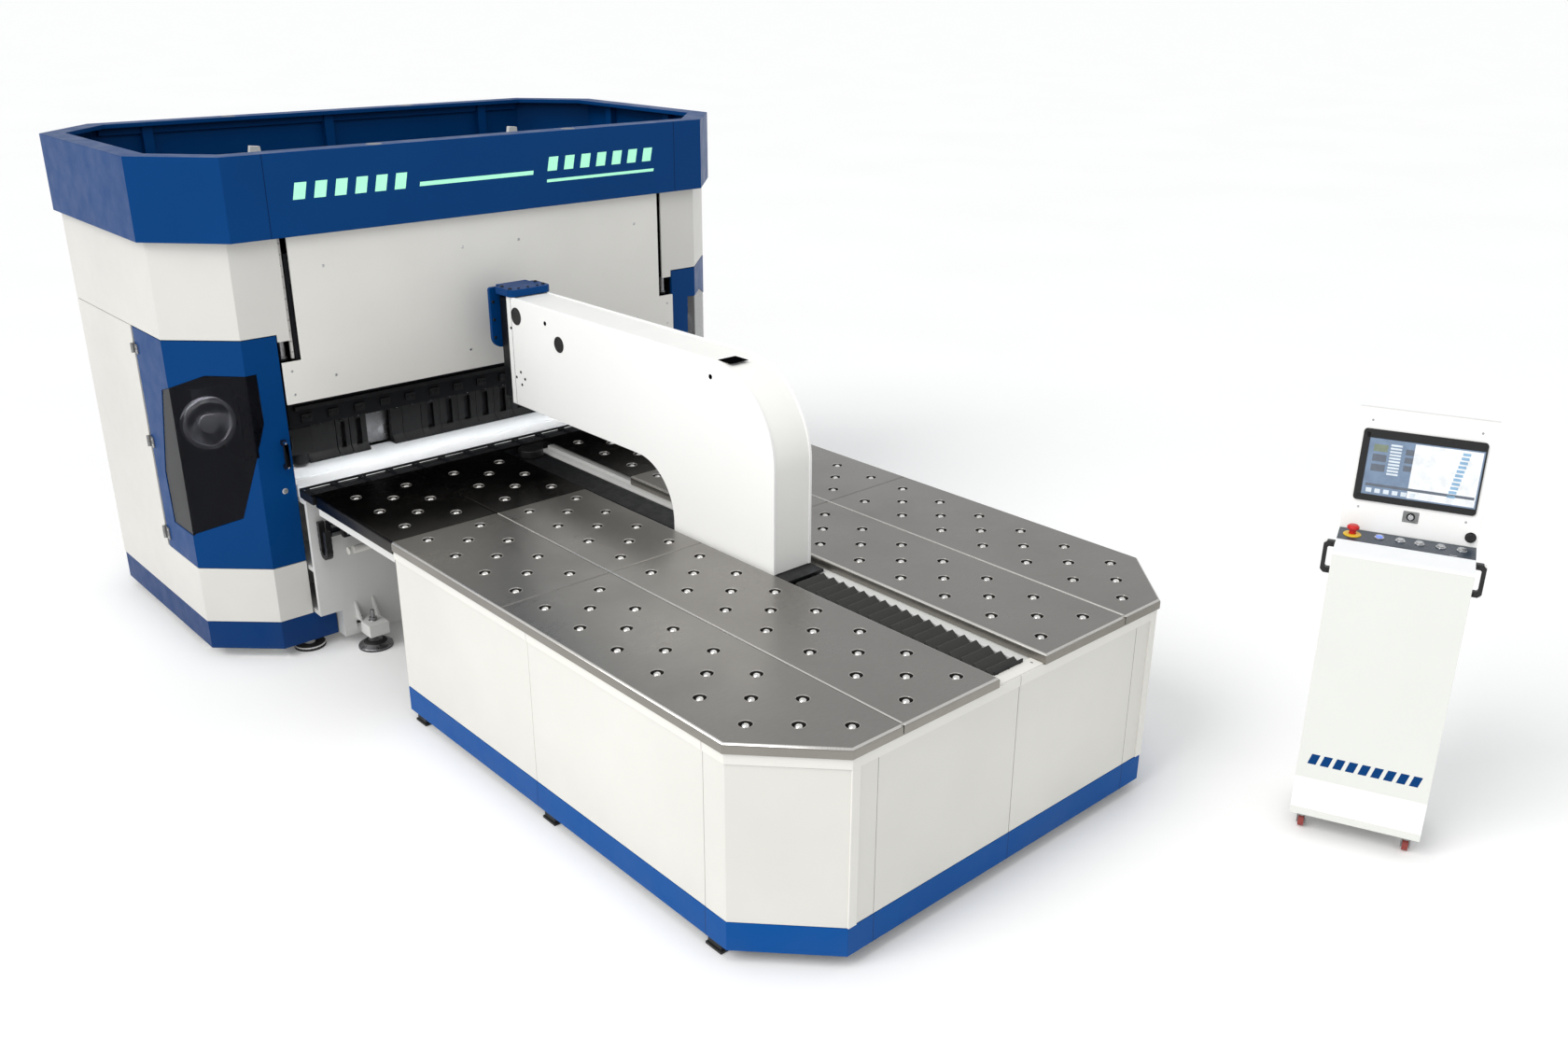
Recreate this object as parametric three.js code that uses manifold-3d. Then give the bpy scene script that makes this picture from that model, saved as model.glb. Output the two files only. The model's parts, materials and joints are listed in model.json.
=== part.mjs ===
// Sheet-metal folding centre (panel bender): a bending head with two towers and a blue crown,
// a ball-transfer table with a travelling C-shaped manipulator, and a free-standing console.
// Millimetres, +Z up. X runs across the machine and Y runs from the table towards the back
// of the head. The outlines below are drawn with y = 0 at the front face of the crown, and
// the finished group is moved so that its origin is at the bottom centre of its bounding box.

import * as THREE from 'three';
import { mergeVertices } from 'three/addons/utils/BufferGeometryUtils.js';
import Module from 'manifold-3d';

// ---------------------------------------------------------------- driving dimensions

const GAP = 2; // clearance left between neighbouring covers
const PANEL = 12; // depth of the folded cladding panels
const SOFFIT = 60; // underside of the kick plates above the floor
const WORK_HEIGHT = 979; // height of the table and of the clamping bed

const HEAD = {
  halfWidth: 1758,
  front: 78,
  back: 1966,
  cornerX: 296,
  frontCornerY: 281,
  rearCornerY: 286,
  kickTop: 223,
  coverInner: 1205,
  lowerInner: 1276,
  kickInner: 1146,
  kickNotch: 6,
  tabOuter: 1272,
  tabBottom: 1757,
  tabRise: 20,
  kickInset: 4,
};

const CROWN = {
  halfWidth: 1800,
  front: 0,
  back: 2044,
  bottom: 2294,
  top: 2705,
  wall: 16,
  lip: 120,
  lipDepth: 24,
  frontCut: [332, 342],
  rearCut: [360, 379],
};

const ROOF = { bottom: 2470, top: 2482, clearance: 36 };

const DOOR = {
  bottom: 541,
  top: 1795,
  rear: 776,
  thickness: 18,
  hingeX: 1768,
  hingeY: 791,
  knuckleRadius: 9,
  knuckles: [[592, 661], [1130, 1188], [1652, 1701]],
  leafFront: 735,
  sideCoverStart: 806,
  leafWidth: 5,
  sideCoverDrop: 40,
};

// The window folds over three faces of the door. Its outline on each face is height against
// y on the side, against the distance from the side fold on the corner, and against x in front.
const WINDOW = {
  side: [[349, 1545], [359, 1545], [466, 1514], [637, 1021], [625, 730], [349, 730]],
  corner: [[-10, 1545], [0, 1545], [197, 1614], [418, 1611], [418, 1170], [408, 1170], [288, 832], [-10, 730]],
  front: [[-1472, 1611], [-1403, 1613], [-1399, 1348], [-1434, 1244], [-1472, 1165]],
  recess: 3,
  thickness: 6,
  edgeGap: 1.5,
  cutOut: 30,
  cutIn: 42,
  paneFront: -1380,
  paneSide: 700,
  paneMargin: 100,
};

const PULL = { x: 1319, width: 22, bottom: 1088, top: 1240, post: 20, reach: 46, bar: 13 };

const FRAME = {
  inner: 1330,
  outer: 1400,
  front: 130,
  back: 1880,
  bottom: 226,
  top: 2280,
  throatBack: 900,
  throatBottom: 985,
  throatTop: 1425,
};

const BASE = {
  halfWidth: 1440,
  front: 115,
  back: 1900,
  bottom: 150,
  beamHalfWidth: 1268,
  beamBack: 435,
  beamTop: 905,
  beamWall: 26,
  beamWeb: 485,
  footX: 1290,
  footY: [150, 1800],
  footRadius: 85,
  footHeight: 24,
  stemRadius: 30,
};

const BRACKET = { x: 1012, halfWidth: 58, front: -165, bottom: 88, top: 158, holeRadius: 14 };

const BED = { halfWidth: 1270, front: 33, step: 166, back: 435, bottom: 907, stepDrop: 3 };

const STRIP = { halfWidth: 1285, front: -135, back: 25, bottom: 925 };

const RAM = {
  coverFront: 60,
  coverThickness: 14,
  coverTop: 2290,
  coverBottom: 1425,
  coverShoulder: 1650,
  coverUpper: 1165,
  coverLower: 1270,
  halfWidth: 1180,
  front: 90,
  back: 640,
  bottom: 1440,
  top: 2200,
  wall: 50,
  noseFront: 300,
  noseBack: 440,
  noseBottom: 1215,
};

const TOOLS = {
  front: 392,
  back: 432,
  bottom: 980,
  top: 1213,
  slotBottom: 1012,
  slotTop: 1178,
  slotHalf: 23,
  pitch: 122,
  leftSpan: [-1064, -699],
  leftSlots: [-850, -765],
  mainSpan: [-550, 1190],
  mainSlots: 12,
  firstSlot: -296,
  changer: { x: [-1191, -1060], y: [300, 420], z: [1065, 1213] },
};

// The blade frame is a C in section, with a hollow cell above and below its throat. The
// carriage behind it is hollow too. All four outlines are Y against Z.
const BLADE = {
  halfWidth: 1255,
  section: [
    [447, 952],
    [447, 900],
    [520, 700],
    [820, 700],
    [820, 1300],
    [560, 1300],
    [447, 1172],
    [447, 988],
    [500, 986],
    [640, 986],
    [640, 954],
    [500, 954],
  ],
  cells: [
    [[510, 915], [510, 895], [570, 740], [780, 740], [780, 915]],
    [[520, 1030], [780, 1030], [780, 1260], [585, 1260], [520, 1190]],
  ],
  carriageHalf: 1200,
  carriage: [[642, 226], [1000, 226], [1000, 900], [882, 1240], [822, 1240], [822, 620], [642, 316]],
  carriageCell: [[690, 266], [960, 266], [960, 888], [878, 1130], [862, 1130], [862, 605], [690, 315]],
};

const PULLEY = {
  x: 1565,
  z: 1304,
  radius: 140,
  front: 400,
  back: 450,
  rim: 24,
  dish: 18,
  hub: 52,
  hubBack: 458,
  bearingDepth: 98,
  bearingRise: 60,
};

const TABLE = {
  halfWidth: 1275,
  front: -3825,
  cornerX: 323,
  cornerY: 342,
  slot: 145,
  rear: -140,
  seamRear: -988,
  seamCross: -1978,
  seamLong: 691,
  seamWidth: 4,
  seamDepth: 8,
  longSeamDepth: 6,
  plateBottom: 949,
  rimBottom: 934,
  rimWidth: 4.5,
  edgeBottom: 914,
  edgeWidth: 20,
  panelHalf: 1266,
  panelFront: -3818,
  panelDepth: 12,
  panelTop: 932,
  kickTop: 190,
  sideSeam: -3352,
  panelRear: -985,
};

const CHANNEL = {
  plate: 25,
  lip: 30,
  inner: 95,
  outer: 125,
  floor: 615,
  top: 930,
  ledge: 150,
  flange: 212,
  front: -3790,
  rear: -160,
};

const TRUSS = {
  posts: [-3420, -2260, -1090],
  depth: 80,
  inner: 1180,
  outer: 1240,
  beamBottom: 555,
  beamTop: 617,
  railBottom: 880,
  top: 948,
  rearRail: { inner: 1212, outer: 1262, bottom: 866, top: 912, rear: -145 },
};

const ARM = {
  halfWidth: 117,
  top: 1890,
  front: -2462,
  outerRadius: 440,
  innerRadius: 285,
  back: -1717,
  underside: 1285,
  end: -258,
  bottom: 951,
  skin: 16,
  flange: 3,
};

const CARRIAGE = {
  halfWidth: 118,
  neck: 85,
  jaw: 80,
  front: -2550,
  neckFront: -2500,
  rear: -1700,
  jawRear: -142,
  bottom: 700,
  jawBottom: 780,
  top: 949,
  plate: 15,
};

const CLAMP = {
  y: -215,
  radius: 72,
  discBottom: 1250,
  discTop: 1278,
  bevel: 6,
  rotatorBevel: 4,
  spigot: 34,
  spigotLength: 20,
  ramHalf: 95,
  ramFront: -252,
  ramBack: -152,
  ramTop: 1868,
};

const END_BRACKET = {
  lap: 10,
  half: 132,
  cut: 34,
  front: -330,
  back: -122,
  bottom: 1892,
  top: 1930,
  plateHalf: 152,
  plateFront: -146,
  plateBottom: 1580,
};

const BELLOWS = { half: 90, front: -3746, rear: -2556, base: 905, valley: 922, crest: 949, folds: 18 };

const CONSOLE = {
  x: 1275,
  y: -4696,
  turn: -67.9,
  halfWidth: 266,
  bottom: 93,
  shelf: 1343,
  shelfDepth: 302,
  top: 1860,
  topDepth: 385,
  back: 400,
  backTop: 1420,
  topBack: 432,
  wall: 20,
  casterX: 215,
  casterY: [52, 348],
  seat: { inner: 80, outer: 5, front: 40, back: 5, height: 8 },
  collar: { radius: 14, below: 10, above: 4 },
};

const WHEEL = {
  radius: 30,
  half: 12,
  hub: 9,
  cheek: 14,
  cheekOuter: 19,
  cheekHalf: 12,
  cheekBottom: 16,
  crown: 66,
  crownDepth: 8,
  swivel: 20,
  trail: 16,
};

const BUTTONS = {
  y: 239,
  radius: 12,
  height: 9,
  pocket: 8,
  clearance: 1,
  lit: -104,
  silver: [-23, 51, 132, 211],
  stop: { x: -210, y: 231, cap: 25, stem: 14, height: 46 },
};

const FACE = {
  monitor: { x: [-235, 238], z: [132, 436], depth: 13 },
  key: { x: 0, z: 88, radius: 11, length: 14 },
  knob: { x: 236, z: 40, radius: 17, length: 16 },
};

const GRIP = { reach: 308, bar: 12, post: 18, bottom: 1194, top: 1332, front: 141, back: 159 };

const LEVELLER = {
  x: 1012,
  y: -92,
  discRadius: 95,
  discHeight: 14,
  shoulderRadius: 62,
  shoulderTop: 34,
  neckRadius: 24,
  neckTop: 52,
  stem: 12,
  top: 222,
  nut: 21,
};

// ---------------------------------------------------------------- materials

const paint = {
  white: [0xe2e1dc, 0.45, 0.0],
  blue: [0x00398a, 0.4, 0.0],
  kick: [0x1e5aa8, 0.45, 0.0],
  structure: [0xcfd2d4, 0.5, 0.1],
  dark: [0x1d1e21, 0.55, 0.4],
  black: [0x101113, 0.6, 0.0],
  steel: [0x8b8986, 0.32, 0.9],
  darkSteel: [0x3a3836, 0.3, 0.9],
  bed: [0xdde4ea, 0.3, 0.6],
  bellows: [0x1c1d1a, 0.7, 0.0],
  glass: [0x14161c, 0.08, 0.0],
  screen: [0x2b3745, 0.2, 0.0],
  red: [0xc8201c, 0.35, 0.0],
  silver: [0xb8bcc0, 0.3, 0.9],
  lit: [0x3f62ff, 0.3, 0.0],
  tyre: [0x8c3a34, 0.6, 0.0],
};

// Every part gets a material of its own.
function finish(name) {
  const [color, roughness, metalness] = paint[name];
  return new THREE.MeshStandardMaterial({ color, roughness, metalness });
}

// ---------------------------------------------------------------- geometry helpers

const wasm = await Module();
wasm.setup();

function toSolid(geometry) {
  const bare = geometry.clone();
  bare.deleteAttribute('normal');
  bare.deleteAttribute('uv');
  const merged = mergeVertices(bare);
  const vertProperties = Float32Array.from(merged.getAttribute('position').array);
  const triVerts = Uint32Array.from(merged.getIndex().array);
  return new wasm.Manifold(new wasm.Mesh({ numProp: 3, vertProperties, triVerts }));
}

function toGeometry(solid) {
  const mesh = solid.getMesh();
  const geometry = new THREE.BufferGeometry();
  geometry.setAttribute('position', new THREE.Float32BufferAttribute(mesh.vertProperties, 3));
  geometry.setIndex(Array.from(mesh.triVerts));
  geometry.computeVertexNormals();
  return geometry;
}

function join(...pieces) {
  return toGeometry(pieces.map(toSolid).reduce((whole, piece) => whole.add(piece)));
}

function cut(body, ...tools) {
  return toGeometry(tools.map(toSolid).reduce((rest, tool) => rest.subtract(tool), toSolid(body)));
}

function common(first, second) {
  return toGeometry(toSolid(first).intersect(toSolid(second)));
}

function box(x, y, z) {
  const geometry = new THREE.BoxGeometry(x[1] - x[0], y[1] - y[0], z[1] - z[0]);
  return geometry.translate((x[0] + x[1]) / 2, (y[0] + y[1]) / 2, (z[0] + z[1]) / 2);
}

// A block that stands on either side of the centre plane, between two distances from it.
function blocks(inner, outer, y, z) {
  return [box([-outer, -inner], y, z), box([inner, outer], y, z)];
}

function path(points) {
  return points.map(([a, b]) => new THREE.Vector2(a, b));
}

// An outline in X and Y, raised from z[0] to z[1].
function prismZ(points, z, holes = []) {
  const shape = new THREE.Shape(path(points));
  shape.holes = holes.map((hole) => new THREE.Path(path(hole)));
  const geometry = new THREE.ExtrudeGeometry(shape, { depth: z[1] - z[0], bevelEnabled: false });
  return geometry.translate(0, 0, z[0]);
}

const AXIS = {
  x: new THREE.Vector3(1, 0, 0),
  y: new THREE.Vector3(0, 1, 0),
  z: new THREE.Vector3(0, 0, 1),
};

// An outline in Y and Z, drawn along X from x[0] to x[1].
function prismX(points, x, holes = []) {
  const turn = new THREE.Matrix4().makeBasis(AXIS.y, AXIS.z, AXIS.x);
  return prismZ(points, x, holes).applyMatrix4(turn);
}

// An outline in X and Z, drawn along Y from y[0] to y[1].
function prismY(points, y, holes = []) {
  const turn = new THREE.Matrix4().makeBasis(AXIS.x, AXIS.z, AXIS.y.clone().negate());
  return prismZ(points, [-y[1], -y[0]], holes).applyMatrix4(turn);
}

function postZ(radius, x, y, z, segments = 28) {
  const geometry = new THREE.CylinderGeometry(radius, radius, z[1] - z[0], segments);
  return geometry.rotateX(Math.PI / 2).translate(x, y, (z[0] + z[1]) / 2);
}

function rollX(radius, x, y, z, segments = 24) {
  const geometry = new THREE.CylinderGeometry(radius, radius, x[1] - x[0], segments);
  return geometry.rotateZ(Math.PI / 2).translate((x[0] + x[1]) / 2, y, z);
}

function discY(radius, x, y, z, segments = 32) {
  const geometry = new THREE.CylinderGeometry(radius, radius, y[1] - y[0], segments);
  return geometry.translate(x, (y[0] + y[1]) / 2, z);
}

// A turned shape: the profile lists radius against height, from the axis back to the axis.
function turned(profile, x, y, segments = 28) {
  return new THREE.LatheGeometry(path(profile), segments).rotateX(Math.PI / 2).translate(x, y, 0);
}

function mirrored(geometry) {
  const copy = geometry.index ? geometry.toNonIndexed() : geometry.clone();
  copy.scale(-1, 1, 1);
  const position = copy.getAttribute('position');
  const second = new THREE.Vector3();
  const third = new THREE.Vector3();
  for (let i = 0; i < position.count; i += 3) {
    second.fromBufferAttribute(position, i + 1);
    third.fromBufferAttribute(position, i + 2);
    position.setXYZ(i + 1, third.x, third.y, third.z);
    position.setXYZ(i + 2, second.x, second.y, second.z);
  }
  return copy;
}

// Moves each corner of a run of points to the right of its direction, with mitred corners.
function offset(points, distance, closed = false) {
  const count = points.length;
  const normal = (i) => {
    const [ax, ay] = points[i];
    const [bx, by] = points[(i + 1) % count];
    const length = Math.hypot(bx - ax, by - ay);
    return [(by - ay) / length, -(bx - ax) / length];
  };
  return points.map(([x, y], i) => {
    const before = closed ? normal((i + count - 1) % count) : normal(Math.max(i - 1, 0));
    const after = closed ? normal(i) : normal(Math.min(i, count - 2));
    const scale = distance / (1 + before[0] * after[0] + before[1] * after[1]);
    return [x + (before[0] + after[0]) * scale, y + (before[1] + after[1]) * scale];
  });
}

// A folded sheet that follows a run of points, its outer face set in by inset.
function wall(run, thickness, z, inset = 0) {
  const outer = offset(run, inset);
  const inner = offset(run, inset + thickness);
  return prismZ([...outer, ...inner.reverse()], z);
}

function arc(centre, radius, from, to, steps) {
  return Array.from({ length: steps + 1 }, (_, i) => {
    const angle = THREE.MathUtils.degToRad(from + ((to - from) * i) / steps);
    return [centre[0] + radius * Math.cos(angle), centre[1] + radius * Math.sin(angle)];
  });
}

// ---------------------------------------------------------------- the assembly

const machine = new THREE.Group();

function add(name, geometry, colour, parent = machine) {
  const mesh = new THREE.Mesh(geometry, finish(colour));
  mesh.name = name;
  parent.add(mesh);
}

function addPair(name, leftGeometry, colour) {
  add(`${name}_left`, leftGeometry, colour);
  add(`${name}_right`, mirrored(leftGeometry), colour);
}

// ---------------------------------------------------------------- head: structure

function baseFrame() {
  const slab = box([-BASE.halfWidth, BASE.halfWidth], [BASE.front, BASE.back], [BASE.bottom, HEAD.kickTop]);
  const section = [[0, SOFFIT], [BASE.beamBack, SOFFIT], [BASE.beamBack, BASE.beamTop], [0, BASE.beamTop]];
  const cell = (low, high) => [
    [BASE.beamWall, low],
    [BASE.beamBack - BASE.beamWall, low],
    [BASE.beamBack - BASE.beamWall, high],
    [BASE.beamWall, high],
  ];
  const cells = [
    cell(HEAD.kickTop + BASE.beamWall, BASE.beamWeb),
    cell(BASE.beamWeb + BASE.beamWall, BASE.beamTop - BASE.beamWall),
  ];
  const beam = prismX(section, [-BASE.beamHalfWidth, BASE.beamHalfWidth], cells);
  const feet = BASE.footY.flatMap((y) => [-1, 1].flatMap((side) => [
    postZ(BASE.footRadius, side * BASE.footX, y, [0, BASE.footHeight]),
    postZ(BASE.stemRadius, side * BASE.footX, y, [BASE.footHeight - 1, BASE.bottom + 1]),
  ]));
  const brackets = [-1, 1].map((side) => {
    const x = [side * BRACKET.x - BRACKET.halfWidth, side * BRACKET.x + BRACKET.halfWidth];
    return box(x, [BRACKET.front, 1], [BRACKET.bottom, BRACKET.top]);
  });
  const holes = [-1, 1].map((side) => {
    return postZ(BRACKET.holeRadius, side * LEVELLER.x, LEVELLER.y, [BRACKET.bottom - 10, BRACKET.top + 10]);
  });
  const kickPass = blocks(
    HEAD.kickInner - HEAD.kickNotch,
    BASE.beamHalfWidth + 1,
    [-1, HEAD.front + HEAD.kickInset + PANEL + HEAD.kickNotch],
    [SOFFIT - 1, HEAD.kickTop + GAP],
  );
  return cut(join(cut(beam, ...kickPass), slab, ...feet, ...brackets), ...holes);
}

function levellingFoot() {
  const { x, y, discRadius, discHeight, neckRadius, neckTop, stem, top, nut } = LEVELLER;
  return turned([
    [0, 0],
    [discRadius, 0],
    [discRadius, discHeight],
    [LEVELLER.shoulderRadius, LEVELLER.shoulderTop],
    [neckRadius, neckTop],
    [stem, neckTop],
    [stem, BRACKET.top + GAP],
    [nut, BRACKET.top + GAP],
    [nut, BRACKET.top + nut],
    [stem, BRACKET.top + nut],
    [stem, top],
    [0, top],
  ], -x, y);
}

function sideFrame() {
  const outline = [
    [FRAME.front, FRAME.bottom],
    [FRAME.back, FRAME.bottom],
    [FRAME.back, FRAME.top],
    [FRAME.front, FRAME.top],
    [FRAME.front, FRAME.throatTop],
    [FRAME.throatBack, FRAME.throatTop],
    [FRAME.throatBack, FRAME.throatBottom],
    [FRAME.front, FRAME.throatBottom],
  ];
  const plate = prismX(outline, [-FRAME.outer, -FRAME.inner]);
  const bearing = box(
    [-PULLEY.x - PULLEY.hub, -FRAME.outer + 1],
    [PULLEY.hubBack + GAP, PULLEY.hubBack + GAP + PULLEY.bearingDepth],
    [PULLEY.z - PULLEY.hub, FRAME.throatTop + PULLEY.bearingRise],
  );
  return join(plate, bearing);
}

function clampingBed() {
  return prismX([
    [BED.front, BED.bottom],
    [BED.back, BED.bottom],
    [BED.back, WORK_HEIGHT],
    [BED.step, WORK_HEIGHT],
    [BED.step - BED.stepDrop, WORK_HEIGHT - BED.stepDrop],
    [BED.front, WORK_HEIGHT - BED.stepDrop],
  ], [-BED.halfWidth, BED.halfWidth]);
}

function rollerStrip() {
  return box([-STRIP.halfWidth, STRIP.halfWidth], [STRIP.front, STRIP.back], [STRIP.bottom, WORK_HEIGHT]);
}

// ---------------------------------------------------------------- head: cladding

const frontFold = [-(HEAD.halfWidth - HEAD.cornerX), HEAD.front];
const sideFold = [-HEAD.halfWidth, HEAD.front + HEAD.frontCornerY];
const rearSideFold = [-HEAD.halfWidth, HEAD.back - HEAD.rearCornerY];
const rearFold = [-(HEAD.halfWidth - HEAD.cornerX), HEAD.back];

function towerCover() {
  const run = [[-HEAD.coverInner, HEAD.front], frontFold, sideFold, rearSideFold, rearFold];
  const shell = wall(run, PANEL, [DOOR.top + GAP, CROWN.bottom - GAP]);
  const tabFront = [HEAD.front, HEAD.front + PANEL];
  const tab = box([-HEAD.tabOuter, -HEAD.coverInner], tabFront, [HEAD.tabBottom, DOOR.top + HEAD.tabRise]);
  return join(shell, tab);
}

function sideCover() {
  const lowerRun = [[-HEAD.lowerInner, HEAD.front], frontFold, sideFold, rearSideFold, rearFold];
  const sideRun = [[-HEAD.halfWidth, DOOR.sideCoverStart], rearSideFold, rearFold];
  const lower = wall(lowerRun, PANEL, [HEAD.kickTop + GAP, DOOR.bottom - GAP]);
  const side = wall(sideRun, PANEL, [DOOR.bottom - DOOR.sideCoverDrop, DOOR.top - GAP]);
  return join(lower, side);
}

function headKick() {
  const left = [[-HEAD.kickInner, HEAD.front], frontFold, sideFold, rearSideFold, rearFold];
  const right = left.map(([x, y]) => [-x, y]).reverse();
  return wall([...left, ...right], PANEL, [SOFFIT, HEAD.kickTop], HEAD.kickInset);
}

function rearCover() {
  const half = -rearFold[0] - PANEL + GAP;
  const z = [HEAD.kickTop + GAP, CROWN.bottom - GAP];
  return box([-half, half], [HEAD.back - PANEL - GAP, HEAD.back - GAP], z);
}

function crownOutline(inset) {
  const { halfWidth, front, back, frontCut, rearCut } = CROWN;
  const corners = [
    [halfWidth, back - rearCut[1]],
    [halfWidth, front + frontCut[1]],
    [halfWidth - frontCut[0], front],
    [frontCut[0] - halfWidth, front],
    [-halfWidth, front + frontCut[1]],
    [-halfWidth, back - rearCut[1]],
    [rearCut[0] - halfWidth, back],
    [halfWidth - rearCut[0], back],
  ];
  return offset(corners, inset, true);
}

function crownFascia() {
  const lipBottom = CROWN.top - CROWN.lipDepth;
  const block = prismZ(crownOutline(0), [CROWN.bottom, CROWN.top]);
  const hollow = prismZ(crownOutline(CROWN.wall), [CROWN.bottom - 1, lipBottom]);
  const mouth = prismZ(crownOutline(CROWN.lip), [lipBottom - 1, CROWN.top + 1]);
  return cut(block, hollow, mouth);
}

function headRoof() {
  return prismZ(crownOutline(ROOF.clearance), [ROOF.bottom, ROOF.top]);
}

// ---------------------------------------------------------------- tower doors

function windowTool(edgeGap) {
  const { cutOut, cutIn } = WINDOW;
  const side = prismX(offset(WINDOW.side, edgeGap, true), [-HEAD.halfWidth - cutOut, -HEAD.halfWidth + cutIn]);
  const front = prismY(offset(WINDOW.front, edgeGap, true), [HEAD.front - cutOut, HEAD.front + cutIn]);
  const along = new THREE.Vector3(frontFold[0] - sideFold[0], frontFold[1] - sideFold[1], 0).normalize();
  const outward = along.clone().cross(AXIS.z);
  const place = new THREE.Matrix4().makeBasis(along, AXIS.z, outward).setPosition(sideFold[0], sideFold[1], 0);
  const corner = prismZ(offset(WINDOW.corner, edgeGap, true), [-cutIn, cutOut]).applyMatrix4(place);
  return join(side, front, corner);
}

function doorHinges() {
  return DOOR.knuckles.flatMap((z) => [
    box([-DOOR.hingeX + DOOR.leafWidth, -HEAD.halfWidth + 1], [DOOR.leafFront, DOOR.hingeY + 1], z),
    postZ(DOOR.knuckleRadius, -DOOR.hingeX, DOOR.hingeY, z, 16),
  ]);
}

function doorPull() {
  const x = [-PULL.x - PULL.width / 2, -PULL.x + PULL.width / 2];
  const outside = HEAD.front - PULL.reach;
  return [
    box(x, [outside, HEAD.front + 1], [PULL.bottom, PULL.bottom + PULL.post]),
    box(x, [outside, HEAD.front + 1], [PULL.top - PULL.post, PULL.top]),
    box(x, [outside, outside + PULL.bar], [PULL.bottom, PULL.top]),
  ];
}

function towerDoor() {
  const run = [[-HEAD.lowerInner - GAP, HEAD.front], frontFold, sideFold, [-HEAD.halfWidth, DOOR.rear]];
  const leaf = wall(run, DOOR.thickness, [DOOR.bottom + GAP, DOOR.top - GAP]);
  return join(cut(leaf, windowTool(0)), ...doorHinges(), ...doorPull());
}

function doorWindow() {
  const run = [[WINDOW.paneFront, HEAD.front], frontFold, sideFold, [-HEAD.halfWidth, WINDOW.paneSide]];
  const z = [DOOR.bottom + WINDOW.paneMargin, DOOR.top - WINDOW.paneMargin];
  const pane = wall(run, WINDOW.thickness, z, WINDOW.recess);
  return common(pane, windowTool(WINDOW.edgeGap));
}

// ---------------------------------------------------------------- clamping ram

function upperBeam() {
  const section = [
    [RAM.front, RAM.bottom],
    [RAM.noseFront, RAM.bottom],
    [RAM.noseFront, RAM.noseBottom],
    [RAM.noseBack, RAM.noseBottom],
    [RAM.noseBack, RAM.bottom],
    [RAM.back, RAM.bottom],
    [RAM.back, RAM.top],
    [RAM.front, RAM.top],
  ];
  const middle = (RAM.bottom + RAM.top) / 2;
  const cell = (low, high) => [
    [RAM.front + RAM.wall, low],
    [RAM.back - RAM.wall, low],
    [RAM.back - RAM.wall, high],
    [RAM.front + RAM.wall, high],
  ];
  const cells = [
    cell(RAM.bottom + RAM.wall, middle - RAM.wall / 2),
    cell(middle + RAM.wall / 2, RAM.top - RAM.wall),
  ];
  return prismX(section, [-RAM.halfWidth, RAM.halfWidth], cells);
}

function ramCover() {
  const half = [
    [RAM.coverLower, RAM.coverBottom],
    [RAM.coverLower, RAM.coverShoulder],
    [RAM.coverUpper, RAM.coverShoulder],
    [RAM.coverUpper, RAM.coverTop],
  ];
  const outline = [...half, ...half.map(([x, z]) => [-x, z]).reverse()];
  return prismY(outline, [RAM.coverFront, RAM.coverFront + RAM.coverThickness]);
}

function toolSlot(x) {
  const { slotHalf, slotBottom, slotTop } = TOOLS;
  return [
    ...arc([x, slotBottom + slotHalf], slotHalf, 180, 360, 6),
    ...arc([x, slotTop - slotHalf], slotHalf, 0, 180, 6),
  ];
}

function toolBank(span, slots) {
  const outline = [
    [span[0], TOOLS.bottom],
    [span[1], TOOLS.bottom],
    [span[1], TOOLS.top],
    [span[0], TOOLS.top],
  ];
  return prismY(outline, [TOOLS.front, TOOLS.back], slots.map(toolSlot));
}

function leftTools() {
  const changer = box(TOOLS.changer.x, TOOLS.changer.y, TOOLS.changer.z);
  return join(toolBank(TOOLS.leftSpan, TOOLS.leftSlots), changer);
}

function mainTools() {
  const slots = Array.from({ length: TOOLS.mainSlots }, (_, i) => TOOLS.firstSlot + i * TOOLS.pitch);
  return toolBank(TOOLS.mainSpan, slots);
}

function liftPulley() {
  const { x, z, radius, front, back, rim: rimWidth, dish, hub, hubBack } = PULLEY;
  const recess = discY(radius - rimWidth, -x, [front - 1, front + dish], z, 40);
  const rim = cut(discY(radius, -x, [front, back], z, 40), recess);
  return join(rim, discY(hub, -x, [front, hubBack], z));
}

// ---------------------------------------------------------------- bending blades

function bladeFrame() {
  return prismX(BLADE.section, [-BLADE.halfWidth, BLADE.halfWidth], BLADE.cells);
}

function bladeCarriage() {
  return prismX(BLADE.carriage, [-BLADE.carriageHalf, BLADE.carriageHalf], [BLADE.carriageCell]);
}

// ---------------------------------------------------------------- table

const tableCornerSide = [-TABLE.panelHalf, TABLE.panelFront + TABLE.cornerY - 4];
const tableCornerFront = [TABLE.cornerX - 2 - TABLE.panelHalf, TABLE.panelFront];

function slotChannel() {
  const half = [
    [CHANNEL.inner, CHANNEL.floor + CHANNEL.plate],
    [CHANNEL.inner, CHANNEL.top],
    [CHANNEL.ledge, CHANNEL.top],
    [CHANNEL.ledge, TRUSS.top],
    [CHANNEL.flange, TRUSS.top],
    [CHANNEL.flange, CHANNEL.top - CHANNEL.lip],
    [CHANNEL.outer, CHANNEL.top - CHANNEL.lip],
    [CHANNEL.outer, CHANNEL.floor],
  ];
  const outline = [...half, ...half.map(([x, z]) => [-x, z]).reverse()];
  return prismY(outline, [CHANNEL.front, CHANNEL.rear]);
}

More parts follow.
